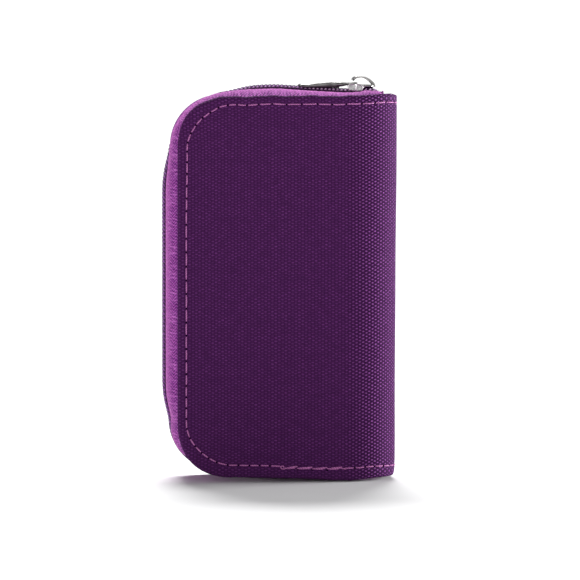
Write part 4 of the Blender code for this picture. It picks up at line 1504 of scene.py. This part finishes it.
# spine board: follows the tucked foot of the spine
rows = []
us = np.linspace(U_FLAT + 11.5, U_END, 16)
prof_u = np.concatenate([us, us[::-1][1:]])
sides_ = np.concatenate([np.full(16, -1), np.full(15, 1)])
zs = np.linspace(2.2, H - 1.6, 24)
rings = []
for uu, sd in zip(prof_u, sides_):
    a = np.array([skin(uu, z, 0.62, sd, 0) for z in zs])
    b = np.array([skin(uu, z, 1.15, sd, 0) for z in zs[::-1]])
    rings.append(np.vstack([a, b]))
v, f = loft(rings)
ob = new_object("spine_stiffener", v, f, None, 40)
dress(ob, "board")
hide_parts("spine_board")
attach(ob, "spine")


# ===================================================================== pockets
def pocket(name, x0, x1, z0, h, y_base, out, depth, where, mat, node,
           seam=1.5, seed=0, sag=0.35):
    """A sewn-on pocket: cloth stands off the sheet, open at the top.

    out is +1 or -1: the way the pocket faces along y. y_base is the sheet's
    face. Its side and bottom folds run down to a sewn flange.
    """
    nx, nz = 34, 24
    g = []
    # distance from the side: flange, fold up, face
    fr = np.array([0.0, 0.7, 1.25, 1.5, 1.62, 1.8, 2.15, 2.7])
    hh = np.array([0.0, 0.0, 0.06, 0.30, 0.62, 0.86, 0.97, 1.0])
    xs = np.concatenate([x0 + fr, np.linspace(x0 + 3.6, x1 - 3.6, nx), x1 - fr[::-1]])
    zs = np.concatenate([z0 + fr, np.linspace(z0 + 3.6, z0 + h, nz)])
    X, Z = np.meshgrid(xs, zs, indexing="ij")
    dx = np.minimum(X - x0, x1 - X)
    dz = Z - z0
    fx = np.interp(dx, fr, hh)
    fz = np.interp(dz, fr, hh)
    up = np.minimum(fx, fz)
    rng = np.random.default_rng(seed)
    a, b, c = rng.uniform(0, 6, 3)
    t = (X - x0) / (x1 - x0)
    q = (Z - z0) / h
    # free top edge: the cloth is slacker there
    slack = sag * np.sin(math.pi * t) ** 0.8 * smooth((q - 0.45) / 0.55)
    wr = 0.05 * np.sin(X / 2.9 + a) * np.sin(Z / 3.7 + b) \
        + 0.05 * np.sin((X + Z) / 5.3 + c)
    d = up * (depth + 0.16 * np.sin(math.pi * t) * np.sin(math.pi * min(1, 1) * q)
              + wr - slack)
    # a shallow dip in the mouth so that a thumb can reach the card
    Zm = Z - 1.1 * np.exp(-((t - 0.5) / 0.16) ** 2) * smooth((q - 0.55) / 0.45)
    Y = y_base + out * (0.10 + d)
    v = np.stack([X, Y, Zm], -1).reshape(-1, 3)
    w = np.stack([X + up * 0.8, Z, np.zeros_like(X)], -1).reshape(-1, 3)
    f = grid_faces(len(xs), len(zs))
    n = vertex_normals(v, f)
    if n[(len(xs) // 2) * len(zs) + len(zs) // 2, 1] * out < 0:
        f = [k[::-1] for k in f]
    sv, sf = shell(v, f, 0.2)
    ob = new_object(name + "_cloth", sv, sf, {"weave": np.vstack([w, w])}, 60,
                    recalc=False)
    dress(ob, mat)
    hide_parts(node)
    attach(ob, where)
    # folded hem at the mouth, with its row of stitching
    k = len(zs) - 1
    V = v.reshape(len(xs), len(zs), 3)
    hem = V[6:-6, k, :].copy()
    rings = []
    for i, pnt in enumerate(hem):
        ring = []
        for dy, dzz in ((0.10, -1.9), (0.14, -1.0), (0.17, 0.1), (0.10, 0.28),
                        (-0.10, 0.34), (-0.30, 0.28), (-0.36, 0.1), (-0.33, -1.0),
                        (-0.29, -1.9)):
            ring.append((pnt[0], pnt[1] + out * dy, pnt[2] + dzz))
        rings.append(ring)
    hv, hf = loft(rings)
    hw = np.stack([hv[:, 0], hv[:, 2], hv[:, 1] * 0], -1)
    hob = new_object(name + "_hem", hv, hf, {"weave": hw}, 50)
    dress(hob, "binding")
    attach(hob, where)
    soup = Soup("thread")
    line = hem[::2] + np.array([0, out * 0.20, -1.25])
    nr = np.tile([0, out, 0], (len(line), 1)).astype(float)
    stitch_line(soup, line, nr, 2.3, 0.35, 0.11, 0.07, 0.12, 0.04, 5, 6)
    e = 0.78
    U = [(x0 + e, z0 + h - 0.8), (x0 + e, z0 + e), (x1 - e, z0 + e),
         (x1 - e, z0 + h - 0.8)]
    for (xa, za), (xb, zb) in zip(U, U[1:]):
        m = 12
        line = np.column_stack([np.linspace(xa, xb, m),
                                np.full(m, y_base + out * 0.13),
                                np.linspace(za, zb, m)])
        nr = np.tile([0, out, 0], (m, 1)).astype(float)
        stitch_line(soup, line, nr, 2.2, 0.35, 0.11, 0.07, 0.12, 0.04, 5, 6)
    # bartacks at the two ends of the mouth
    for xb in (x0 + e, x1 - e):
        for k in range(5):
            zz = z0 + h - 0.9 + 0.16 * k
            stitch(soup, (xb - 0.55, y_base + out * 0.15, zz),
                   (xb + 0.55, y_base + out * 0.15, zz + 0.08), (0, out, 0), 0.1,
                   0.1, 0.1, 5, 5)
    sob = soup.object(name + "_stitch", 60)
    dress(sob, "inner_thread")
    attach(sob, where)
    return ob


y_lining = HALF_T - 2.72 - 0.0
for side, tag in ((-1, "front"), (1, "back")):
    for k, (z, level) in enumerate(zip(CF_Z, ("lower", "upper"))):
        pocket("%s_large_%s" % (tag, level), CF_X0 + 0.4, CF_X1, z, CF_H,
               side * y_lining, -side, 2.75, tag + "_cover", "pocket",
               "%s_large_pocket_%s" % (tag, level), seed=20 + k,
               sag=0.3)


# ====================================================================== leaves
def leaf_outline(inset, step=1.6, arcs=14):
    """Stations round the leaf's free edges: x, z, nx, nz."""
    x0, z0, z1, r = LEAF_X0 + inset, LEAF_Z0 + inset, LEAF_Z1 - inset, LEAF_R - inset
    rows = []
    x1 = LEAF_HINGE_X - 1.4
    for x in np.linspace(x1, x0 + r, int((x1 - x0 - r) / step) + 1):
        rows.append((x, z1, 0.0, 1.0))
    for k in range(1, arcs):
        a = math.radians(90 + 90 * k / arcs)
        rows.append((x0 + r + r * math.cos(a), z1 - r + r * math.sin(a),
                     math.cos(a), math.sin(a)))
    for z in np.linspace(z1 - r, z0 + r, int((z1 - z0 - 2 * r) / step) + 1):
        rows.append((x0, z, -1.0, 0.0))
    for k in range(1, arcs):
        a = math.radians(180 + 90 * k / arcs)
        rows.append((x0 + r + r * math.cos(a), z0 + r + r * math.sin(a),
                     math.cos(a), math.sin(a)))
    for x in np.linspace(x0 + r, x1, int((x1 - x0 - r) / step) + 1):
        rows.append((x, z0, 0.0, -1.0))
    return np.array(rows)


for i in range(3):
    where = "leaf_%d" % (i + 1)
    yc = (i - 1) * LEAF_PITCH
    # sheet: columns from the fore-edge to the sewn edge on the strip
    xs = np.concatenate([LEAF_X0 + LEAF_R * (1 - np.cos(np.linspace(0, math.pi / 2,
                                                                    14))),
                         np.linspace(LEAF_X0 + LEAF_R, 29.15, 44)[1:]])
    V, W = [], []
    m = 60
    for x in xs:
        d = max(0.0, LEAF_X0 + LEAF_R - x)
        cut = LEAF_R - math.sqrt(max(0.0, LEAF_R ** 2 - d ** 2))
        zz = np.linspace(LEAF_Z0 + cut, LEAF_Z1 - cut, m)
        bow = 0.10 * np.sin(zz / 9.0 + i) * math.sin(math.pi * (x - LEAF_X0) / 56.6)
        V.append(np.column_stack([np.full(m, x), np.full(m, yc + 0.10) + bow, zz]))
        W.append(np.column_stack([np.full(m, x), zz, np.zeros(m)]))
    v, w = np.vstack(V), np.vstack(W)
    f = grid_faces(len(xs), m)
    n = vertex_normals(v, f)
    if n[len(n) // 2, 1] < 0:
        f = [q[::-1] for q in f]
    sv, sf = shell(v, f, 0.22)
    ob = new_object(where + "_page", sv, sf, {"weave": np.vstack([w, w])}, 60,
                    recalc=False)
    dress(ob, "lining")
    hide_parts(where + "_sheet")
    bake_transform(ob)
    for s, face in ((-1, "front"), (1, "rear")):
        for k, (z, level) in enumerate(zip(SD_Z, ("bottom", "middle", "top"))):
            pocket("%s_%s_%s" % (where, face, level), SD_X0, SD_X1, z, SD_H,
                   yc + s * 0.17, s, 2.05, where, "pocket",
                   "%s_%s_pocket_%s" % (where, face, level),
                   seed=100 + 10 * i + 3 * k + s, sag=0.25)
    # ribbon folded over the three free edges
    st = leaf_outline(0.0)
    s_al = np.concatenate([[0], np.cumsum(np.hypot(np.diff(st[:, 0]),
                                                   np.diff(st[:, 1])))])
    sec = [(-2.3, -0.34), (-1.2, -0.40), (-0.1, -0.42), (0.35, -0.34), (0.52, 0.0),
           (0.35, 0.34), (-0.1, 0.42), (-1.2, 0.40), (-2.3, 0.34), (-2.3, 0.16),
           (-1.2, 0.18), (0.1, 0.17), (0.24, 0.0), (0.1, -0.17), (-1.2, -0.18),
           (-2.3, -0.16)]
    rings, wv = [], []
    for (x, z, nx, nz), sa in zip(st, s_al):
        wob = 0.05 * math.sin(sa / 3.1)
        rings.append([(x + nx * (o + wob), yc + y, z + nz * (o + wob))
                      for o, y in sec])
        wv += [(sa, o, 0) for o, y in sec]
    v, f = loft(rings)
    ob = new_object(where + "_ribbon", v, f, {"weave": np.array(wv)}, 50)
    dress(ob, "binding")
    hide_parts(where + "_edge_binding")
    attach(ob, where)
    soup = Soup("thread")
    for s in (-1, 1):
        line = np.column_stack([st[:, 0] - st[:, 2] * 1.55,
                                np.full(len(st), yc + s * 0.43),
                                st[:, 1] - st[:, 3] * 1.55])
        nr = np.tile([0, s, 0], (len(line), 1)).astype(float)
        stitch_line(soup, line, nr, 2.6, 0.4, 0.12, 0.07, 0.12, 0.05, 5, 6)
    ob = soup.object(where + "_ribbon_stitch", 60)
    dress(ob, "inner_thread")
    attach(ob, where)

# strip that sews the leaves to the spine
m = 70
zz = np.linspace(LEAF_Z0, LEAF_Z1, m)
rings, wv = [], []
for z in zz:
    ring = []
    for x, y in ((29.12, -5.9), (29.12, -3.0), (29.2, 0.0), (29.12, 3.0),
                 (29.12, 5.9), (29.3, 6.15), (29.75, 6.15), (29.95, 5.9),
                 (29.98, 3.0), (29.98, 0.0), (29.98, -3.0), (29.95, -5.9),
                 (29.75, -6.15), (29.3, -6.15)):
        ring.append((x + 0.04 * math.sin(z / 4), y, z))
        wv.append((z, y, 0))
    rings.append(ring)
v, f = loft(rings)
ob = new_object("leaf_sewing_strip", v, f, {"weave": np.array(wv)}, 50)
dress(ob, "binding")
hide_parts("leaf_binding_strip")
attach(ob, "spine")
soup = Soup("thread")
for y in (-4.6, -1.05, 1.05, 4.6):
    line = np.column_stack([np.full(40, 29.13), np.full(40, y),
                            np.linspace(LEAF_Z0 + 1, LEAF_Z1 - 1, 40)])
    nr = np.tile([-1.0, 0, 0], (40, 1))
    stitch_line(soup, line, nr, 2.8, 0.4, 0.13, 0.07, 0.12, 0.05, 5, 6)
ob = soup.object("sewing_strip_stitch", 60)
dress(ob, "inner_thread")
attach(ob, "spine")

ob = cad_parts["zip_bottom_stop"]
ob.data.materials.clear()
ob.data.materials.append(MAT["stop"])


# ============================================================ floor and lights
bm = bmesh.new()
bmesh.ops.create_grid(bm, x_segments=40, y_segments=40, size=40.0)
me = bpy.data.meshes.new("floor")
bm.to_mesh(me)
bm.free()
floor = bpy.data.objects.new("floor", me)
COLL.objects.link(floor)
floor.location = (0, 0, -0.0002)
me.materials.append(MAT["floor"])

world = bpy.data.worlds.new("studio")
bpy.context.scene.world = world
world.use_nodes = True
bg = next(n for n in world.node_tree.nodes if n.type == "BACKGROUND")
out = next(n for n in world.node_tree.nodes if n.type == "OUTPUT_WORLD")
# a bright sweep behind the object, and a dimmer room that lights it
bg.inputs["Color"].default_value = (1.0, 1.0, 1.0, 1.0)
bg.inputs["Strength"].default_value = 0.23
sweep = world.node_tree.nodes.new("ShaderNodeBackground")
sweep.inputs["Color"].default_value = (1.0, 1.0, 1.0, 1.0)
sweep.inputs["Strength"].default_value = 1.1
seen = world.node_tree.nodes.new("ShaderNodeLightPath")
both = world.node_tree.nodes.new("ShaderNodeMixShader")
world.node_tree.links.new(seen.outputs["Is Camera Ray"], both.inputs[0])
world.node_tree.links.new(bg.outputs[0], both.inputs[1])
world.node_tree.links.new(sweep.outputs[0], both.inputs[2])
world.node_tree.links.new(both.outputs[0], out.inputs["Surface"])


def aimed(o, loc, aim):
    COLL.objects.link(o)
    o.location = loc
    o.rotation_euler = (Vector(aim) - Vector(loc)).to_track_quat("-Z", "Y").to_euler()
    return o


def area_light(name, loc, aim, size, size_y, power, colour=(1, 1, 1)):
    d = bpy.data.lights.new(name, "AREA")
    d.shape = "RECTANGLE"
    d.size, d.size_y = size, size_y
    d.energy = power
    d.color = colour
    return aimed(bpy.data.objects.new(name, d), loc, aim)


# broad light from above and a little behind; its shadow falls forwards
sun = bpy.data.lights.new("overhead", "SUN")
sun.energy = 4.9
sun.angle = math.radians(27)
aimed(bpy.data.objects.new("overhead", sun), (0.02, 0.85, 1.0), (0, 0, 0))
area_light("front_fill", (0.3, -5.2, 1.2), (0, 0, 0.05), 3.6, 2.4, 92.0)
area_light("right_softbox", (0.95, 0.20, 0.16), (0.01, 0.0, 0.06), 0.5, 0.26, 18.0)
area_light("left_softbox", (-0.9, 0.02, 0.16), (-0.02, 0.0, 0.06), 0.3, 0.26, 2.2)

# ------------------------------------------------------------------ the camera
AZ, EL = math.radians(-6.0), math.radians(4.5)
back = Vector((math.sin(AZ) * math.cos(EL), -math.cos(AZ) * math.cos(EL),
               math.sin(EL)))
target = Vector((1.83, -14.35, 53.54)) * MM
cam_data = bpy.data.cameras.new("camera")
cam_data.sensor_width = 36.0
cam_data.lens = 1000.0
cam_data.clip_start, cam_data.clip_end = 0.05, 20.0
cam = bpy.data.objects.new("camera", cam_data)
COLL.objects.link(cam)
cam.location = target + back * 4.481
cam.rotation_euler = (-back).to_track_quat("-Z", "Y").to_euler()
bpy.context.scene.camera = cam
bpy.context.scene.view_settings.view_transform = "Standard"
bpy.context.scene.view_settings.look = "None"
